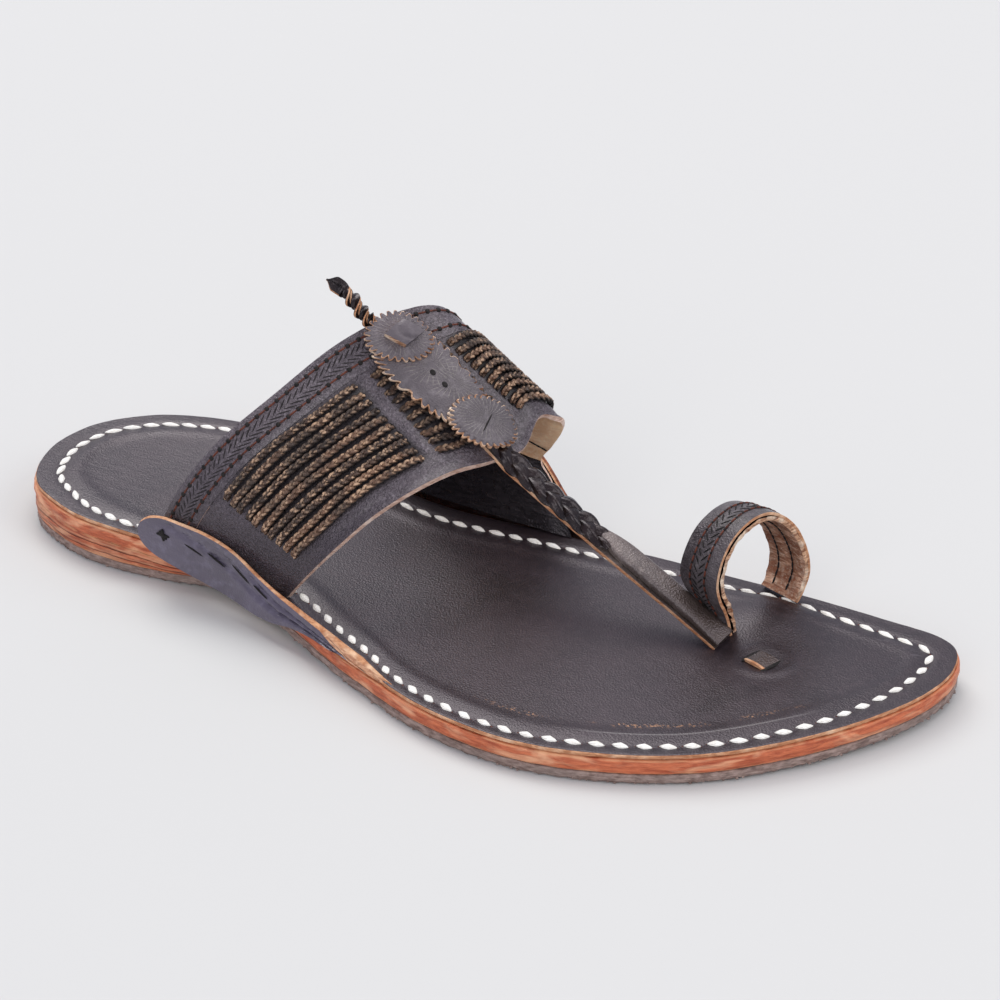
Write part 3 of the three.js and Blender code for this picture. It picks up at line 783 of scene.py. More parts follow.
def insoleHeight(point, depth, station):  # relief on top of the insole
    x, y = point.x, point.y
    line = fromTable(stitchInsets[station["side"]], station["at"].x)
    z = -0.35 * hump(depth, line, 1.3)
    z += insoleLook["ridge"] * hump(depth, line + 5.2, 2.6) * (0.75 + 0.5 * uneven((x, y, 0), 30))
    z -= 0.5 * hump(x, 32, 26) * hump(y, 2, 20) + 0.6 * hump(x, 205, 34) * hump(y, -30, 24)
    z += 0.22 * uneven((x, y, 0), 26, 3)
    bumpX, bumpY = insoleLook["bumpAt"]
    sizeX, sizeY = insoleLook["bumpSize"]
    z += insoleLook["bump"] * hump(x, bumpX, sizeX) * hump(y, bumpY, sizeY) * smoothstep(depth, 2, 9)
    away = math.hypot((x - thongTab["x"]) / 1.15, y - thongTab["y"])
    z += insoleLook["tabDent"] * (0.9 * hump(away, 6.2, 1.7) - 0.5 * hump(away, 0, 4))
    return z


def insoleRelief(point, depth, height, station):
    if height > 0.9:
        point.z += insoleHeight(point, depth, station) * smoothstep(depth, 0, 2)
    elif depth < 2:
        point += station["out"] * 0.1 * uneven((point.x, point.y, point.z * 3), 2.4, 5)
    return point


def makeInsole():
    rows = [(0, 1, 0, 1), (4, 0, 0, 1), (0.2, 0, 0, 1), (0.02, 0, 0.2, 1), (-0.08, 0, 0.45, 1)]
    rows += [(0, 0, 0.7, 1), (0.16, 0, 0.9, 0), (0.42, 0, 0.985, 0), (0.8, 0, 1, 0)]
    rows += [(1.4 + 0.75 * i, 0, 1, 0) for i in range(22)]
    rows += [(1.4 + 0.75 * 21, i / 18, 1, 0) for i in range(1, 19)]
    soleLayer(
        "insole_leather", rows, lambda x: midsoleTop(x) + 0.22, insoleTop, [leather["insole"], cutEdge],
        "insole", insoleRelief, trim=True,
    )


rimStitch = {
    "pitch": 6.1, "length": 5.9, "width": 2.2, "height": 1.5, "yaw": -13, "hole": (1.3, 0.8, 0.5), "seed": 5,
}


def stitchLine():  # points of the stitch line round the insole
    line = []
    for station in stations:
        side, x = station["side"], station["at"].x
        inset = fromTable(stitchInsets[side], x)
        point = station["at"] - station["out"] * (inset + tuck(side, x) * 0.25)
        point.z = insoleTop(point.x) + insoleHeight(point, inset, station)
        line.append(point)
    return line


def walk(line, pitch, closed=True):  # evenly spaced places and directions along a line of points
    points = line + [line[0]] if closed else line
    lengths = [0]
    for a, b in zip(points, points[1:]):
        lengths.append(lengths[-1] + (b - a).length)
    count = max(1, round(lengths[-1] / pitch))
    found = []
    for k in range(count):
        target = lengths[-1] * (k + 0.5) / count
        i = min(len(points) - 2, bisect.bisect_right(lengths, target) - 1)
        share = (target - lengths[i]) / (lengths[i + 1] - lengths[i])
        found.append((points[i].lerp(points[i + 1], share), (points[i + 1] - points[i]).normalized()))
    return found


def makeRimStitches():
    random.seed(rimStitch["seed"])
    threads, holes = newMesh(), newMesh()
    for at, along in walk(stitchLine(), rimStitch["pitch"]):
        size = [rimStitch[key] * random.uniform(0.92, 1.08) for key in ("length", "width", "height")]
        front = smoothstep(at.x, 60, 150) * (1 if at.y < 0 else 0.3)  # shorter and pointed at the outer toes
        size[0] *= mix(1, 0.79, front)
        yaw = Matrix.Rotation(math.radians(rimStitch["yaw"] + random.uniform(-5, 5)), 3, "Z")
        heading = yaw @ along
        seed(threads, at + Vector((0, 0, 0.15)), heading, upward, size, 8, 8, mix(0.5, 0.85, front))
        for end in (-1, 1):
            seed(holes, at + heading * end * size[0] * 0.53 - upward * 0.14, along, upward, rimStitch["hole"])
    makePiece("rim_stitches", threads, [whiteThread])
    makePiece("rim_stitch_holes", holes, [brownThread])


makeInsole()
makeRimStitches()
print("insole and rim stitches")


# ---- upper: the strap over the instep

upperWall = 2.0
upperSections = (  # outer face at the rear and the front edge, from the lateral to the medial root
    ((61, -36.5, 12.8), (108, -45.2, 10.9)), ((64, -39.5, 22), (113.5, -45, 18)),
    ((70, -38, 34), (122, -43.2, 28)), ((80, -32.5, 48), (131.5, -37.4, 38)),
    ((93, -22, 61), (140.5, -29, 44.5)), ((105, -10.5, 72.5), (147.5, -18.5, 46.8)),
    ((115, -0.5, 78.8), (153, -7, 45.5)), ((122.5, 7.5, 81.2), (157.6, 4.5, 44.9)),
    ((127, 14, 79.5), (158.5, 14, 51.2)), ((128.5, 20, 74), (162, 21, 48.8)),
    ((126, 25.5, 65), (161, 25.5, 43)), ((120, 29, 53), (156.5, 28.5, 35.5)),
    ((111, 31, 38), (152.5, 29.3, 28.9)), ((104, 31, 24), (157, 28, 22.5)),
    ((100, 28, 11.6), (165, 23.9, 8.6)),
)
upperSpan = len(upperSections) - 1
rearEdge = [Vector(rear) for rear, _ in upperSections]
frontEdge = [Vector(front) for _, front in upperSections]


def upperFace(u, v):
    share = u / upperSpan
    return openCurve(rearEdge, share).lerp(openCurve(frontEdge, share), v)


def upperNormal(u, v):
    over = upperFace(u + 0.01, v) - upperFace(u - 0.01, v)
    along = upperFace(u, v + 0.01) - upperFace(u, v - 0.01)
    return along.cross(over).normalized()


def upperAlong(u, v):  # direction from the rear edge to the front edge
    return (upperFace(u, v + 0.01) - upperFace(u, v)).normalized()


def upperPoint(u, v, height):
    return upperFace(u, v) + upperNormal(u, v) * height


def aboveInsole(point, clear=gap):
    point.z = max(point.z, insoleTop(point.x) + clear)
    return point


upperLook = {  # the linings end at these u, the front edge turns dark after edgeDark
    "columns": 150, "rows": 44, "curl": -0.9, "slant": 0.991, "lateralLining": 3.2, "medialLining": 11.95,
    "edgeDark": 13.2,
}


def underCords(u, v):  # 1 where cords lie on the strap, the mask of the painted shadow under them
    lean = 0.2 * (v - 0.26)
    start = 7.0 + v * 0.85
    lateral = smoothstep(u, 2.55 - v, 2.6 - v) * fade(u, 4.86 - lean, 4.91 - lean)
    short = smoothstep(u, 5.16 - lean, 5.2 - lean) * fade(u, 5.9, 6.0)
    medial = smoothstep(u, start - 0.08, start) * fade(u, 11.45, 11.6)
    return smoothstep(v, 0.235, 0.255) * fade(v, 0.85, 0.87) * (lateral + short + medial)


def upperRelief(u, v):
    face = upperFace(u, v)
    z = 0.18 * uneven(face, 14) + 0.07 * uneven(face, 4.5, 2)
    inRows = smoothstep(v, 0.24, 0.3) * fade(v, 0.8, 0.86)
    inRuns = smoothstep(u, 1.8, 2.4) * fade(u, 4.6, 5.0) + smoothstep(u, 7.2, 7.7)
    z -= 0.45 * inRows * inRuns  # pressed down under the cords
    strip = hump(u, 4.98 - 0.12 * v, 0.16) * inRows
    z += 0.35 * strip * (0.7 + 0.6 * math.sin(v * 108))
    return z + 0.25 * hump(v, 0.99, 0.03) - 0.25 * hump(v, 0.945, 0.02)  # a bead along the front edge


def makeUpper():
    rows = upperLook["rows"]

    def within(share):
        u = share * upperSpan
        return 3 if u > upperLook["medialLining"] or u < upperLook["lateralLining"] else 2

    def cut(share):  # the front edge is dark where it goes down beside the insole
        return 3 if share * upperSpan > upperLook["edgeDark"] else 1

    slant = upperLook["slant"]
    ring = [(i / rows * slant, "out", 0, 0) for i in range(rows)] + [(slant, "out", 0, cut)]
    edge = ((0.003, -0.2), (0.006, -0.6), (0.008, -1.0))
    ring += [(slant + out, "edge", height, cut) for out, height in edge]
    ring += [(1 - i / rows, "in", -upperWall, within) for i in range(rows)] + [(0, "in", -upperWall, 0)]
    ring += [(-0.004, "edge", -1.5, 0), (-0.006, "edge", -1.0, 0), (-0.004, "edge", -0.5, 0)]
    bm = newMesh()

    def place(share, item):
        v, kind, height, _ = item
        u = share * upperSpan
        rough = 0.12 * uneven(upperFace(u, v), 2.5, 4) if kind == "edge" else 0
        if kind == "out":
            height += upperRelief(u, v)
        elif kind == "in":
            height += 0.12 * uneven(upperFace(u, v), 7, 6) + 0.8 * smoothstep(v, 0.9, 1)
        curl = upperLook["curl"] * smoothstep(v, 0.86, 1) * hump(u, 8.6, 0.6)
        cordShadow = underCords(u, v) if kind == "out" else 0
        return aboveInsole(upperPoint(u, v + rough * 0.02, height + curl), -0.5), cordShadow

    sweep(bm, upperLook["columns"], ring, place, fields=("cordShadow",))
    makePiece("upper_strap", bm, [leather["strap"], strapEdge, flesh, leather["lining"]], ["upper"])


border = {  # a thin strip along the rear edge, with two rows of thread and cuts in chevrons between them
    "to": 0.222, "thickness": 0.7, "lift": 0.55, "edgeTo": 0.13, "rows": (0.045, 0.168), "pitch": 3.6,
    "threadRun": (0.45, 13.2), "thread": (3.2, 0.62, 0.6), "hole": (1.6, 1.6, 0.8), "cutPitch": 1.95,
    "cutRun": (0.4, 5.7), "lean": 0.1,
}


def makeBorderStrip():
    rows, under = 8, -border["thickness"]

    def edge(share):
        return 1 if share < border["edgeTo"] else 0

    def place(share, item):
        across, height, _ = item
        u, v = share * upperSpan, across * border["to"]
        if height == 0:
            height = 0.25 * (smoothstep(across, 0, 0.08) * smoothstep(1 - across, 0, 0.08) - 1)
        return [aboveInsole(upperPoint(u, v, border["lift"] + height + max(0, upperRelief(u, v)) * 0.4))]

    ring = [(i / rows, 0, 0) for i in range(rows)] + [(1, 0, edge), (1, under, edge)]
    ring += [(1 - i / rows, under, 0) for i in range(1, rows + 1)]
    bm = newMesh()
    sweep(bm, 150, ring, place)
    makePiece("border_strip", bm, [leather["strap"], strapEdge])


def upperLine(v, uFrom, uTo, height, steps=240):
    return [aboveInsole(upperPoint(mix(uFrom, uTo, i / steps), v, height)) for i in range(steps + 1)]


def threadRow(threads, holes, line, normals, pitch, size, hole):
    for at, along in walk(line, pitch, closed=False):
        up = normals[nearest(line, at)]
        seed(threads, at, along, up, size, 6, 5)
        # a dark seed between two stitches, painted shade in the stitch hole
        seed(holes, at + along * pitch / 2 - up * 0.1, along, up, hole)


def nearest(line, at):
    return min(range(len(line)), key=lambda i: (line[i] - at).length_squared)


def makeBorderStitches():
    threads, holes = newMesh(), newMesh()
    for v in border["rows"]:
        line = upperLine(v, *border["threadRun"], 0.62)
        normals = [upperNormal(mix(*border["threadRun"], i / 240), v) for i in range(241)]
        threadRow(threads, holes, line, normals, border["pitch"], border["thread"], border["hole"])
    makePiece("border_stitches", threads, [brownThread])
    makePiece("border_stitch_holes", holes, [blackThreadAndShade])


def makeBorderCuts():
    cuts = newMesh()
    low, high = border["rows"]
    middle, lean = (low + high) / 2, border["lean"]
    for side, vFrom, vTo in ((0, low + 0.018, middle - 0.002), (1, high - 0.018, middle + 0.002)):
        spine = upperLine((vFrom + vTo) / 2, *border["cutRun"], 0.6)
        count = int(sum((b - a).length for a, b in zip(spine, spine[1:])) / border["cutPitch"])
        for k in range(count):
            u = mix(*border["cutRun"], (k + 0.3 * side) / count)
            a = aboveInsole(upperPoint(u + lean, vFrom, 0.56))
            b = aboveInsole(upperPoint(u - lean, vTo, 0.56))
            # dark strokes, painted shade in the cuts
            stroke(cuts, a, b, upperNormal(u, middle), ((b - a).length * 0.95, 0.5, 0.34), point=0.5)
    makePiece("border_cuts", cuts, [cutShade])


def makeFleshSeam():  # thread across the flesh side near the inner root
    bm = newMesh()
    line = [upperPoint(11.35 - 0.1 * i / 40, 0.72 + 0.27 * i / 40, -upperWall - 0.05) for i in range(41)]
    for at, along in walk(line, 2.0, closed=False):
        seed(bm, at, along, -upperNormal(11.3, 0.9), (2.5, 0.6, 0.5))
    makePiece("strap_flesh_seam", bm, [blackThreadAndShade])


makeUpper()
makeBorderStrip()
makeBorderStitches()
makeBorderCuts()
makeFleshSeam()
print("upper and border")


# ---- braided cords

cord = {
    "count": 10, "firstV": 0.265, "lastV": 0.837, "period": 6.0, "lift": 1.25, "slot": (2.8, 0.8, 0.9),
    "seed": 4,
}
cordRuns = {"lateral": ((2.14, 4.84), (1.52, 4.68)), "medial": ((7.15, 11.7), (7.65, 11.4))}


def braid(bm, curve, upOf, length, look, steps=None, sides=6, shade=0.5):  # three strands plaited flat
    turns = length / look["period"]
    steps = steps or max(8, round(turns * 12))
    frames = {}

    def place(share, item):
        if share not in frames:
            frames[share] = frameAt(curve, share, upOf(share))
        at, forward, side, up = frames[share]
        angle = 2 * math.pi * (turns * share + strand / 3)
        taper = look["taper"](share) if "taper" in look else 1
        spread, rise = look["spread"] * taper, look["rise"] * taper
        centre = at + side * math.sin(angle) * spread + up * math.sin(2 * angle) * rise
        swing = 2 * math.pi * turns
        run = forward * length + side * spread * swing * math.cos(angle)
        run += up * rise * 2 * swing * math.cos(2 * angle)
        across = up.cross(run).normalized()
        above = run.cross(across).normalized()
        around = math.atan2(item[1], item[0])
        ridge = 1 + look.get("crease", 0) * math.cos(4 * around + angle + 2 * uneven(centre, 6, strand))
        width, height = look["strand"] * ridge, look["thick"] * ridge
        return centre + (across * item[0] * width + above * item[1] * height) * taper, shade

    for strand in range(3):
        sweep(bm, steps, roundRing(sides), place, fields=("shade",))


cordBraid = {"period": cord["period"], "strand": 0.6, "thick": 0.5, "spread": 0.58, "rise": 0.42}


def makeCordRun(bm, v, uFrom, uTo, lift):
    phase = random.uniform(0, 6)
    shade = random.uniform(0, 1)

    def curve(share):
        u = mix(uFrom, uTo, share)
        ends = min(share, 1 - share) * abs(uTo - uFrom)
        dip = 1.5 * fade(ends, 0, 0.16)
        return upperPoint(u, v + 0.0065 * math.sin(share * 8 + phase), lift - dip)

    look = dict(cordBraid)
    look["strand"] *= random.uniform(0.88, 1.12)
    look["period"] *= random.uniform(0.9, 1.15)
    length = sum((curve((i + 1) / 12) - curve(i / 12)).length for i in range(12))
    braid(bm, curve, lambda share: upperNormal(mix(uFrom, uTo, share), v), length, look, shade=shade)


def makeCords():
    random.seed(cord["seed"])
    shares = [row / (cord["count"] - 1) for row in range(cord["count"])]
    rows = [(share, mix(cord["firstV"], cord["lastV"], share)) for share in shares]
    for side, (first, last) in cordRuns.items():
        cords, slots = newMesh(), newMesh()
        for share, v in rows:
            ends = [mix(a, b, share) for a, b in zip(first, last)]
            makeCordRun(cords, v, *ends, cord["lift"])
            # black seeds at both ends of each cord, painted shade in the slots it goes into
            for u, sign in zip(ends, (-1, 1)):
                at = upperPoint(u + sign * 0.02, v, -0.35)
                seed(slots, at, upperAlong(u, v), upperNormal(u, v), cord["slot"])
        nodes = [f"cord_{side}_{row + 1}" for row in range(cord["count"])]
        makePiece(f"cords_{side}", cords, [waxedCord], nodes)
        makePiece(f"cord_slots_{side}", slots, [blackThreadAndShade])
    cords = newMesh()
    for share, v in rows:
        makeCordRun(cords, v + 0.006, mix(5.12, 5.0, share), 5.62 + 0.4 * share, 0.8)
        makeCordRun(cords, v, 6.62 + 0.25 * share, mix(6.98, 7.3, share), 0.8)
    makePiece("cords_short", cords, [waxedCord])


makeCords()
print("cords")


# ---- toothed ornament

plate = 1.2
panelHeight = 2.6
rosetteHeight = panelHeight + plate + gap
studHeight = rosetteHeight + plate + gap
plates = {  # along and across give the middle on the strap; square is 2 for an oval and more for a box
    "centre_panel": {
        "along": 15.5, "across": -1.2, "halfLength": 19.5, "halfWidth": 9.2, "height": panelHeight,
        "square": 2.7, "cup": 0.6, "teeth": 46, "depth": 1.25, "finish": leather["panel"],
    },
    "rear_rosette": {
        "along": 0.5, "across": -0.5, "halfLength": 8.7, "halfWidth": 7.7, "height": rosetteHeight,
        "square": 2, "cup": 0.4, "teeth": 28, "depth": 1.15, "finish": leather["rearRosette"],
    },
    "front_rosette": {
        "along": 33.2, "across": -0.8, "halfLength": 9.2, "halfWidth": 9.4, "height": rosetteHeight,
        "square": 2, "cup": 0.8, "teeth": 31, "depth": 1.15, "finish": leather["frontRosette"],
    },
}
panelHoles = ((6.12, 0.41), (6.15, 0.50))
slit = {"across": -1.2, "along": 34, "turn": 0.55, "length": 7}


def ornamentPoint(across, along, height):
    u = 6.12 + along * 0.0085 + across / 11.5
    v = 0.14 + along * 0.0192 - across * 0.0026
    return upperPoint(u, v, height)


def makePlate(node, look):
    ring = [(0, 0, 1), (0.5, 0, 1), (0.9, 0, 1), (0.985, 0.08, 1), (1, 0.35, 1), (1, 0.7, 1)]
    ring += [(0.985, 0.94, 1), *((radius, 1, 0) for radius in (0.965, 0.93, 0.88, 0.8, 0.65, 0.5, 0.3, 0))]
    bm = newMesh()

    def place(share, item):
        radius, level, _ = item
        angle = 2 * math.pi * share
        tooth = abs((share * look["teeth"]) % 1 - 0.5) * 2  # 1 between two teeth
        notch = 1 - smoothstep(tooth, 0.25, 0.95) * look["depth"] / look["halfWidth"]
        notch *= 1 + 0.02 * uneven((math.cos(angle) * 3, math.sin(angle) * 3, 0), 1)
        reach = radius * mix(1, notch, smoothstep(radius, 0.8, 0.97))
        turns = math.cos(angle), math.sin(angle)
        x, y = (math.copysign(abs(turn) ** (2 / look["square"]), turn) * reach for turn in turns)
        across = look["across"] + x * look["halfWidth"]
        along = look["along"] + y * look["halfLength"]
        warp = 0.3 * uneven((across, along, 0), 7, 3) * radius
        ruffle = 0.22 * math.sin(angle * 9 + along) * smoothstep(radius, 0.75, 1)
        height = look["height"] + level * plate - look["cup"] * radius ** 3 + warp + ruffle
        return ornamentPoint(across, along, height), across - look["across"], along - look["along"]

    fields = ("fanX", "fanY")
    sweep(bm, look["teeth"] * 8, ring, place, capped=False, closed=False, looped=True, fields=fields)
    uv = bm.loops.layers.uv.active
    fanX, fanY = (bm.verts.layers.float[key] for key in fields)
    for face in bm.faces:
        for loop in face.loops:
            loop[uv].uv = (loop.vert[fanX] / fan["span"] + 0.5, loop.vert[fanY] / fan["span"] + 0.5)
    makePiece(f"{node}_leather", bm, [look["finish"], toothEdge], [node])


def makePlateHoles():
    bm = newMesh()
    # black seeds for the holes and the slit, painted shade in them
    for u, v in panelHoles:
        at = upperPoint(u, v, panelHeight + plate - 0.05)
        seed(bm, at, upperAlong(u, v), upperNormal(u, v), (2.0, 1.7, 0.6), 8, 5)
    x, y = slit["length"] / 2 * math.cos(slit["turn"]), slit["length"] / 2 * math.sin(slit["turn"])
    top = rosetteHeight + plate
    a, b = (ornamentPoint(slit["across"] - end * x, slit["along"] + end * y, top) for end in (1, -1))
    stroke(bm, a, b, upperNormal(6.3, 0.8), (slit["length"], 0.5, 0.4), 5)
    makePiece("panel_holes", bm, [blackThreadAndShade])


stud = {
    "half": (3.5, 3.1), "thick": 3.1, "turn": -14, "across": 0.4, "along": 0.4, "round": 0.3, "fold": 0.55,
}


def makeStud():  # the end of a strap folded over on itself
    bm = newMesh()
    bmesh.ops.create_cube(bm, size=2, calc_uvs=True)
    bmesh.ops.subdivide_edges(bm, edges=bm.edges[:], cuts=15, use_grid_fill=True)
    turn = math.radians(stud["turn"])
    for face in bm.faces:
        middle = face.calc_center_median()
        face.material_index = 1 if min(middle.x, middle.y) < -0.99 else 0
    for vert in bm.verts:
        x, y, z = vert.co
        swell = 1 - 0.1 * (x * x + y * y)
        corner = 1 - 0.05 * abs(x * y)
        px, py = x * stud["half"][0] * corner, y * stud["half"][1] * corner
        across = stud["across"] + px * math.cos(turn) - py * math.sin(turn)
        along = stud["along"] + px * math.sin(turn) + py * math.cos(turn)
        fold = stud["fold"] * hump(math.hypot(x - 0.9, y - 0.2), 1.25, 0.16) * (z > 0)
        height = studHeight - 0.3 + (z + 1) / 2 * stud["thick"] * swell * (1 - 0.12 * x) - fold
        vert.co = ornamentPoint(across, along, height)
    piece = makePiece("rosette_stud_fold", bm, [leather["stud"], toothEdge], ["rosette_stud"])
    bevel = piece.modifiers.new("edges", "BEVEL")
    bevel.width = stud["round"] / 1000
    bevel.segments = 2
    bevel.limit_method = "ANGLE"


for node, look in plates.items():
    makePlate(node, look)
makePlateHoles()
makeStud()
print("ornament")


# ---- plaited tail behind the rear rosette

tail = {"width": 1.9, "thick": 0.75, "turns": 2.6, "leave": 0.75, "twistTo": 0.72}
tailPath = [Vector(point) for point in (
    (115.6, -3.6, 79.6), (113.6, -4.2, 80.6), (111.7, -4.2, 82.3), (109.4, -4, 84.9), (106.8, -4, 87.3),
    (104.2, -4.4, 89.2), (101.2, -4.9, 90.6),
)]


def makeTail():
    bm = newMesh()
    ring = [(-0.9, -1, 0), (0, -1, 0), (0.9, -1, 0), (1, -0.6, 1), (1, 0.6, 0), (0.9, 1, 0), (0, 1, 0)]
    ring += [(-0.9, 1, 0), (-1, 0.6, 1), (-1, -0.6, 0)]

    def place(share, item):
        at, forward, side, up = frameAt(lambda s: openCurve(tailPath, s), share, Vector((0.5, -0.6, 0.6)))
        angle = math.pi * tail["turns"] * 2 * min(share, tail["twistTo"]) + strand * math.pi
        end = smoothstep(share, 0.86, 1)
        width = tail["width"] * (1 - end * 0.9) * (0.9 + 0.3 * smoothstep(share, 0.6, 0.8))
        if strand == 1:
            width *= 1 - 0.8 * smoothstep(share, 0.62, 0.74)
        thick = tail["thick"] * (1 - 0.7 * end)
        centre = at + (side * math.cos(angle) + up * math.sin(angle)) * tail["leave"] * fade(share, 0.6, 0.75)
        a = side * math.cos(angle + 0.9) + up * math.sin(angle + 0.9)
        return [centre + a * item[0] * width + forward.cross(a) * item[1] * thick]

    for strand in range(2):
        sweep(bm, 90, ring, place)
    makePiece("tail_plait", bm, [leather["plait"], cutEdge], ["plait_tail"])


makeTail()
print("tail")


# ---- toe thong

thong = {"edge": 0.12, "plaitTo": 0.53, "width": 3.3, "height": 1.9, "underWidth": 3.7, "sag": 1.2}
thongPlait = {"period": 19, "strand": 1.95, "thick": 1.2, "spread": 1.6, "rise": 0.8, "crease": 0.13}
thongRoot, thongOverEdge = upperPoint(6.4, 0.84, 1.9), upperPoint(6.46, 1.04, 2.1)
thongEnd = Vector((226, -13.5, 10.6))


def thongPoint(share):  # from under the front rosette, over the strap's edge, to its place on the insole
    if share < thong["edge"]:
        return thongRoot.lerp(thongOverEdge, share / thong["edge"])
    run = (share - thong["edge"]) / (1 - thong["edge"])
    point = thongOverEdge.lerp(thongEnd, run)
    point.z += thong["sag"] * math.sin(math.pi * run) * (run - 0.35)
    return point


def thongUp(share):
    return upperNormal(6.46, 1).lerp(Vector((0.45, -0.25, 0.86)), smoothstep(share, 0, 0.9)).normalized()


def makeThongPlait():
    bm = newMesh()
    to = thong["plaitTo"]

    def curve(share):
        return thongPoint(share * to * 0.98 + 0.02) + Vector((-0.25, -0.9, -0.3))

    def taper(share):
        return (0.72 + 0.34 * smoothstep(share, 0, 0.2)) * (1 - 0.25 * smoothstep(share, 0.8, 1))

    look = {**thongPlait, "taper": taper}
    length = (curve(1) - curve(0)).length
    braid(bm, curve, lambda share: thongUp(share * to), length, look, steps=150, sides=20)
    makePiece("thong_plait", bm, [leather["plait"]], ["toe_thong"])


def makeThongFold():  # the lower half, folded smooth
    bm = newMesh()

    def place(share, item):
        along = mix(thong["plaitTo"] - 0.1, 1, share)
        at, forward, side, up = frameAt(thongPoint, along, thongUp(along))
        width = thong["width"] * (0.12 + 0.88 * smoothstep(share, -0.04, 0.3))
        width *= 1 + 0.1 * smoothstep(share, 0.8, 1)
        square = 1.0 / max(0.78, (abs(item[0]) ** 4 + abs(item[1]) ** 4) ** 0.25)
        height = thong["height"] * (1 - 0.35 * smoothstep(share, 0.75, 1)) * (1 - 0.5 * fade(share, 0, 0.2))
        lump = 0.14 * uneven(at + side * item[0] * 3, 7, 2)
        return [at + side * item[0] * width * square + up * (item[1] * height * square * 0.8 + lump + 0.1)]

    sweep(bm, 90, roundRing(24), place)
    makePiece("thong_fold", bm, [leather["thong"]])


def makeThongUnder():  # flat layer below the plait and the fold
    bm = newMesh()
    ring = [(-1, 1, 0), (0, 1, 0), (1, 1, 1), (1.04, 0, 1)]
    ring += [(1, -1, 0), (0, -1, 0), (-1, -1, 1), (-1.04, 0, 1)]

    def place(share, item):
        at, forward, side, up = frameAt(thongPoint, share, thongUp(share))
        width = thong["underWidth"] + 0.12 * uneven(at, 5)
        height = 0.55 * item[1] - 1.75 - 0.35 * hump(share, 0.6, 0.2)
        return [at + side * (item[0] * width - 0.3) + up * height]

    sweep(bm, 100, ring, place)
    makePiece("thong_under_layer", bm, [leather["thong"], cutEdge])


makeThongPlait()
makeThongFold()
makeThongUnder()
print("toe thong")


# ---- big toe loop of two layers

loop = {
    "x": 226.4, "y": -8.8, "heading": 65.6, "width": 13.5, "footShift": 1.4, "outer": 0.9, "split": 0.75,
    "inner": 1.3, "rows": (0.31, 0.70), "pitch": 2.5, "thread": (2.1, 0.6, 0.55), "hole": (0.8, 0.8, 0.5),
    "insidePitch": 2.2, "insideThread": (2.4, 0.75, 0.5), "cuts": 34, "middle": 0.505,
}
loopArc = (  # distance from the lateral foot, height, width of the band
    (0.6, 8.9, 8.6), (-0.9, 13.5, 9.8), (-3, 17.5, 11.5), (-5.6, 21.5, 13), (-7.3, 27.5, 13.8),
    (-5.6, 35, 13.5), (-1, 40.8, 13.5), (6.5, 43.8, 13.5), (14.5, 42.4, 13.5), (23, 35.6, 13.5),
    (28.8, 26, 13.5), (30.8, 18, 13.5), (29, 12.4, 13), (26.5, 8.9, 12.5),
)
loopRows = [Vector(row) for row in loopArc]
loopAlong = Vector((math.cos(math.radians(loop["heading"])), math.sin(math.radians(loop["heading"])), 0))
loopBack = Vector((-loopAlong.y, loopAlong.x, 0))


def loopPoint(share, behind, depth):  # behind goes from 0 at the front edge to 1 at the rear edge
    outer = openCurve(loopRows, share)
    run = openCurve(loopRows, min(1, share + 0.003)) - openCurve(loopRows, max(0, share - 0.003))
    run = Vector((run.x, run.y, 0)).normalized()
    away = outer.x + run.y * depth - loop["footShift"] * fade(share, 0, 0.3)
    back = behind * outer.z
    z = outer.y - run.x * depth
    z -= back / loop["width"] * 2 * ((z - 9) / 34)
    return Vector((loop["x"], loop["y"], z)) + loopAlong * away + loopBack * back


def loopOutwards(share):
    return (loopPoint(share, 0.5, 0) - loopPoint(share, 0.5, 1)).normalized()


def splitAt(share):  # the layers part beside the lateral foot and are sewn tight on the inner side
    return loop["split"] * fade(share, 0.5, 0.68) + 0.1


def makeLoopLayer(name, top, bottom, finishes, nodes, rough, ragged=0.0):
    rows = 22
    middle = (top + bottom) / 2
    ring = [(i / rows, top, 0) for i in range(rows)] + [(1, top, 1), (1.012, middle, 1)]
    ring += [(1 - i / rows, bottom, 2) for i in range(rows)] + [(0, bottom, 1), (-0.012, middle, 1)]
    bm = newMesh()

    def place(share, item):
        behind, depth, _ = item
        at = loopPoint(share, behind, depth)
        if ragged and not 0 < behind < 1:
            behind += ragged * (1 + 2.5 * fade(share, 0.05, 0.25)) * uneven(at, 1.6, 3)
        crown = -0.35 * math.sin(math.pi * min(1, max(0, behind))) + 0.1
        if name.endswith("inner"):
            crown += splitAt(share) - loop["split"] - 0.1
        lump = rough * uneven(at, 3.2, 5)
        if depth > 2:
            lump += rough * 0.8 * uneven((at.x, at.y, at.z * 2.6), 4, 7)
        return [aboveInsole(loopPoint(share, behind, depth + crown + lump))]

    sweep(bm, 130, ring, place)
    makePiece(name, bm, finishes, nodes)


def makeLoopThreads():
    threads, holes, inside = newMesh(), newMesh(), newMesh()
    shares = [mix(0.1, 0.95, i / 160) for i in range(161)]
    insideShares = [mix(0.05, 0.97, i / 160) for i in range(161)]
    insideDepth = innerFace + loop["inner"] - 0.05
    for behind in loop["rows"]:
        line = [loopPoint(share, behind, -0.32) for share in shares]
        normals = [loopOutwards(share) for share in shares]
        threadRow(threads, holes, line, normals, loop["pitch"], loop["thread"], loop["hole"])
        line = [loopPoint(share, behind, insideDepth) for share in insideShares]
        for at, along in walk(line, loop["insidePitch"], closed=False):
            seed(inside, at, along, -loopOutwards(insideShares[nearest(line, at)]), loop["insideThread"])
    makePiece("loop_stitches", threads, [brownThread])
    makePiece("loop_stitch_holes", holes, [blackThreadAndShade])
    makeLoopCuts()
    makePiece("loop_inner_stitches", inside, [blackThreadAndShade])


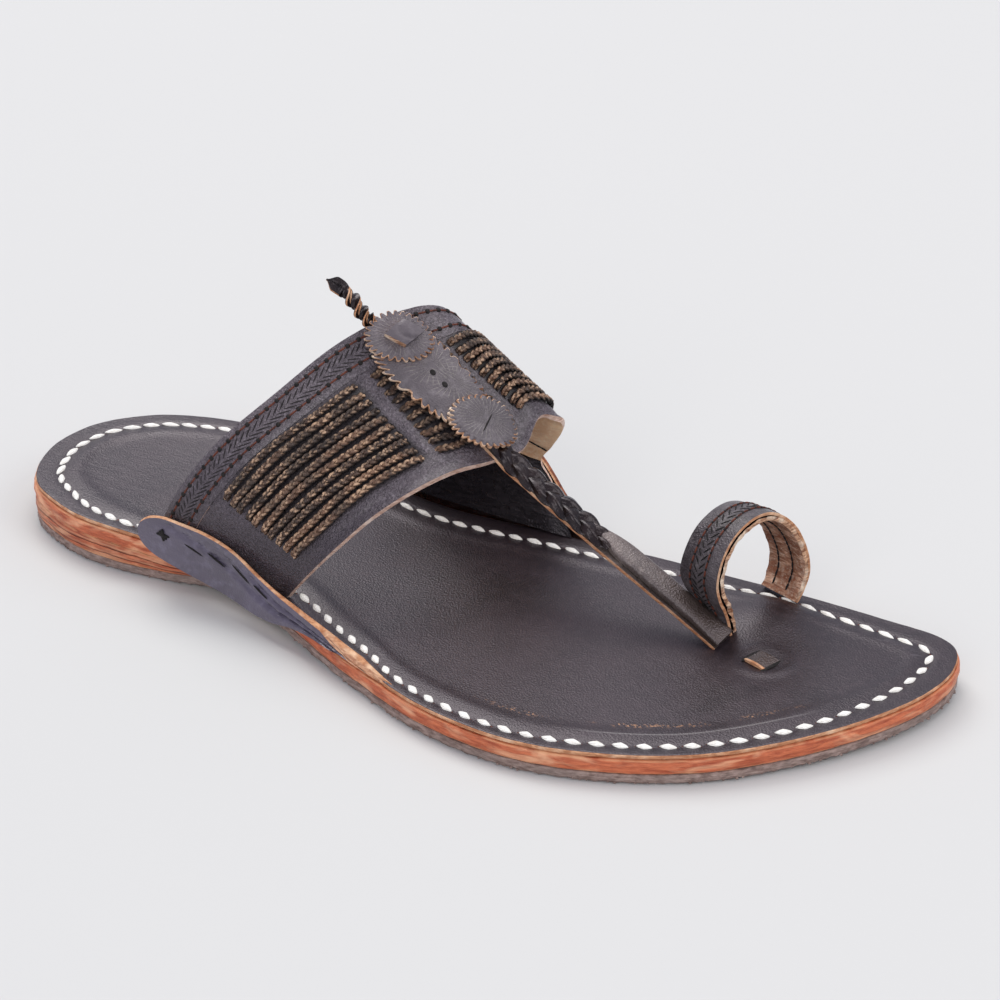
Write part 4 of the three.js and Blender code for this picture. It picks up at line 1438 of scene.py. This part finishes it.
def makeLoopCuts():  # chevrons between the two rows of thread, black strokes painted as the shade in the cuts
    cuts = newMesh()
    for side, (near, far) in enumerate(((0.36, loop["middle"] - 0.01), (0.65, loop["middle"] + 0.01))):
        for k in range(loop["cuts"]):
            share = mix(0.14, 0.93, (k + 0.5 * side) / loop["cuts"])
            a = loopPoint(share + 0.011, near, -0.27)
            b = loopPoint(share - 0.011, far, -0.27)
            stroke(cuts, a, b, loopOutwards(share), ((b - a).length, 0.55, 0.4))
    makePiece("loop_cuts", cuts, [blackThreadAndShade])


innerFace = loop["outer"] + loop["split"]
lining = leather["lining"]
makeLoopLayer("toe_loop_outer", 0, loop["outer"], [leather["loop"], cutEdge, lining], ["toe_loop"], 0.07)
makeLoopLayer(
    "toe_loop_inner", innerFace, innerFace + loop["inner"], [lining, toothEdge, loopFlesh], (), 0.16, 0.03,
)
makeLoopThreads()
print("toe loop")


# ---- ears beside the strap's roots

earWall = 2.2
creases = ((1.32, 0.15), (1.76, 0.28), (1.5, 0.4))  # slope and start of the soft creases in the lateral ear
earDashes = (  # share along the ear, height, length
    (0.281, 0.62, 7.5), (0.352, 0.66, 7.5), (0.445, 0.74, 8), (0.52, 0.72, 6.5),
)
knot = {"share": 0.188, "height": 0.62, "strands": ((0.1, 4.6), (1.5, 4.2), (0.8, 3.6))}  # tilt and length
earRows = {  # x, top y, top z, bottom y, bottom z of the outer face
    "lateral": (
        (57, -42.2, 20.2, -42.2, 17.6), (58.5, -42.3, 22.4, -42.4, 15.2), (61.5, -42.5, 24.2, -42.8, 13.2),
        (66, -42.6, 25, -43.3, 11.7), (73, -42.8, 24.2, -44, 10), (80, -43.4, 23.4, -44.6, 8.4),
        (87, -44.8, 22.2, -45.6, 7), (93, -46.4, 20.4, -47.2, 6), (99, -47.9, 17.4, -49.4, 5.5),
        (106, -50, 14.6, -52, 6), (113, -52.4, 12.8, -53.8, 7.1), (121, -55.8, 11.6, -57, 8),
        (127, -58.4, 11, -60, 8.3), (133, -61.2, 10.5, -62.6, 8.2), (140, -64.4, 9.9, -65.4, 8),
        (147, -67.3, 9.2, -67.9, 7.8), (153, -69.8, 8.5, -70.1, 7.9),
    ),
    "medial": (
        (95, 34.6, 21.4, 34, 17.8), (96.5, 34.7, 24.2, 33, 13.6), (100, 34.8, 26.4, 31.8, 9.6),
        (107, 34.8, 28.2, 31, 7), (115, 34.6, 29.6, 30.4, 5.8), (125, 34.2, 31, 29.6, 5.4),
        (135, 33.8, 32, 29, 5.4), (143, 33.2, 32.2, 28.4, 5.8), (148, 32.8, 31, 28.1, 6.2),
        (152, 32.3, 28, 27.9, 6.7), (156, 31.3, 23.6, 27.8, 7.2), (160, 30, 19, 27.6, 7.6),
        (165, 28.2, 14.6, 27, 7.6), (171, 26, 11.4, 25.6, 7.6), (177, 24.2, 9.6, 24.2, 7.6),
    ),
}


def earPoint(side, share, height, depth):  # height 0 at the bottom edge, 1 at the top; depth inwards
    tops = [Vector((x, y, z)) for x, y, z, _, _ in earRows[side]]
    bottoms = [Vector((x, y, z)) for x, _, _, y, z in earRows[side]]
    point = openCurve(bottoms, share).lerp(openCurve(tops, share), height)
    point.y += depth if side == "lateral" else -depth
    return point


def makeEar(side):
    rows = 16
    outerEdge = 3 if side == "medial" else 1
    ring = [(i / rows, 0, 0) for i in range(rows)] + [(1, 0, outerEdge), (1, 0.35, outerEdge), (1, 0.7, 1)]
    ring += [(1 - i / rows, 1, 2) for i in range(rows)] + [(0, 1, 1), (0, 0.65, 1), (0, 0.3, 1)]
    bm = newMesh()

    def place(share, item):
        height, depth, _ = item
        at = earPoint(side, share, height, 0)
        wall, past, sunk = earWall, -1, 0
        if depth == 0:
            sunk = -0.12 * uneven(at, 9, 8)
        if side == "lateral":
            wall = mix(1.3, earWall, smoothstep(share, 0.5, 0.72)) * (1 - 0.8 * smoothstep(share, 0.86, 1))
            past = height - 1 + (share - 0.72) / 0.15
            for slope, start in creases if depth == 0 else ():
                run = smoothstep(share, start, start + 0.08)
                sunk += 0.75 * run * hump(height, 0.95 - slope * max(0, share - start), 0.055)
        point = earPoint(side, share, height, depth * wall + sunk)
        if 0 < depth < 1:
            point.z += (0.35 if height == 1 else 0) + 0.12 * uneven(at, 2, 3)
        return point, past

    sweep(bm, 130, ring, place, fields=("past",))
    inside = leather["lining"] if side == "medial" else flesh
    makePiece(f"{side}_ear_leather", bm, [leather["ear"], cutEdge, inside, rustEdge], [f"{side}_ear"])


def makeEarMarks():
    bm = newMesh()
    for share, height, length in earDashes:
        a = earPoint("lateral", share - 0.02, height, -0.02)
        b = earPoint("lateral", share + 0.02, height - 0.06, -0.02)
        stroke(bm, a, b, Vector((0, -1, 0.1)), (length, 0.7, 0.5))
    at = earPoint("lateral", knot["share"], knot["height"], -0.2)
    for tilt, length in knot["strands"]:
        along = Vector((math.cos(tilt), 0, -math.sin(tilt)))
        seed(bm, at, along, Vector((0, -1, 0)), (length, 1.2, 0.9), 8, 5)
    makePiece("ear_stitches", bm, [blackThreadAndShade])


makeEar("lateral")
makeEar("medial")
makeEarMarks()
print("ears")


# ---- the thong's end tab in its slot

def makeTab():
    turn = Matrix.Rotation(math.radians(thongTab["heading"]), 3, "Z")
    middle = Vector((thongTab["x"], thongTab["y"], 0))
    bm = newMesh()
    bmesh.ops.create_cube(bm, size=2, calc_uvs=True)
    bmesh.ops.subdivide_edges(bm, edges=bm.edges[:], cuts=7, use_grid_fill=True)
    for face in bm.faces:
        at = face.calc_center_median()
        face.material_index = 1 if at.y < -0.99 or (at.y < -0.8 and at.z > 0.99) else 0
    for vert in bm.verts:
        x, y, z = vert.co
        level = (z + 1) / 2
        at = middle + turn @ Vector((x * thongTab["length"] / 2, y * thongTab["width"] / 2, 0))
        thick = thongTab["thick"] + thongTab["crown"] * (1 - x * x)
        at.z = insoleTop(at.x) + level * thick - thongTab["sunk"]
        vert.co = at
    makePiece("thong_tab", bm, [leather["thong"], cutEdge], ["anchor_tab"])


def makeTabSlots():  # black seeds at the two ends of the tab, painted shade in the slots
    turn = Matrix.Rotation(math.radians(thongTab["heading"]), 3, "Z")
    middle = Vector((thongTab["x"], thongTab["y"], insoleTop(thongTab["x"]) + 0.12))
    bm = newMesh()
    for end in (-1, 1):
        at = middle + turn @ Vector((end * thongTab["length"] / 2, 0, 0))
        seed(bm, at, turn @ Vector((0, 1, 0)), upward, (8.4, 1.5, 0.9), 8, 5)
    makePiece("thong_slots", bm, [blackThreadAndShade])


makeTab()
makeTabSlots()
print("tab")


# ---- floor

floorTone = 0.605


def floorFinish():
    f = Finish("paleFloor", Specular_IOR_Level=0.1)
    cloud = f.noise(400, 1)
    return f.close((floorTone, floorTone, floorTone * 1.004, 1), cloud * 0.02 + 0.85, f.bump(cloud, 0.01))


def makeFloor():
    bm = newMesh()
    bmesh.ops.create_grid(bm, x_segments=2, y_segments=2, size=4, calc_uvs=True)
    mesh = bpy.data.meshes.new("floor")
    bm.to_mesh(mesh)
    bm.free()
    mesh.materials.append(floorFinish())
    floor = bpy.data.objects.new("floor", mesh)
    scene.collection.objects.link(floor)


makeFloor()
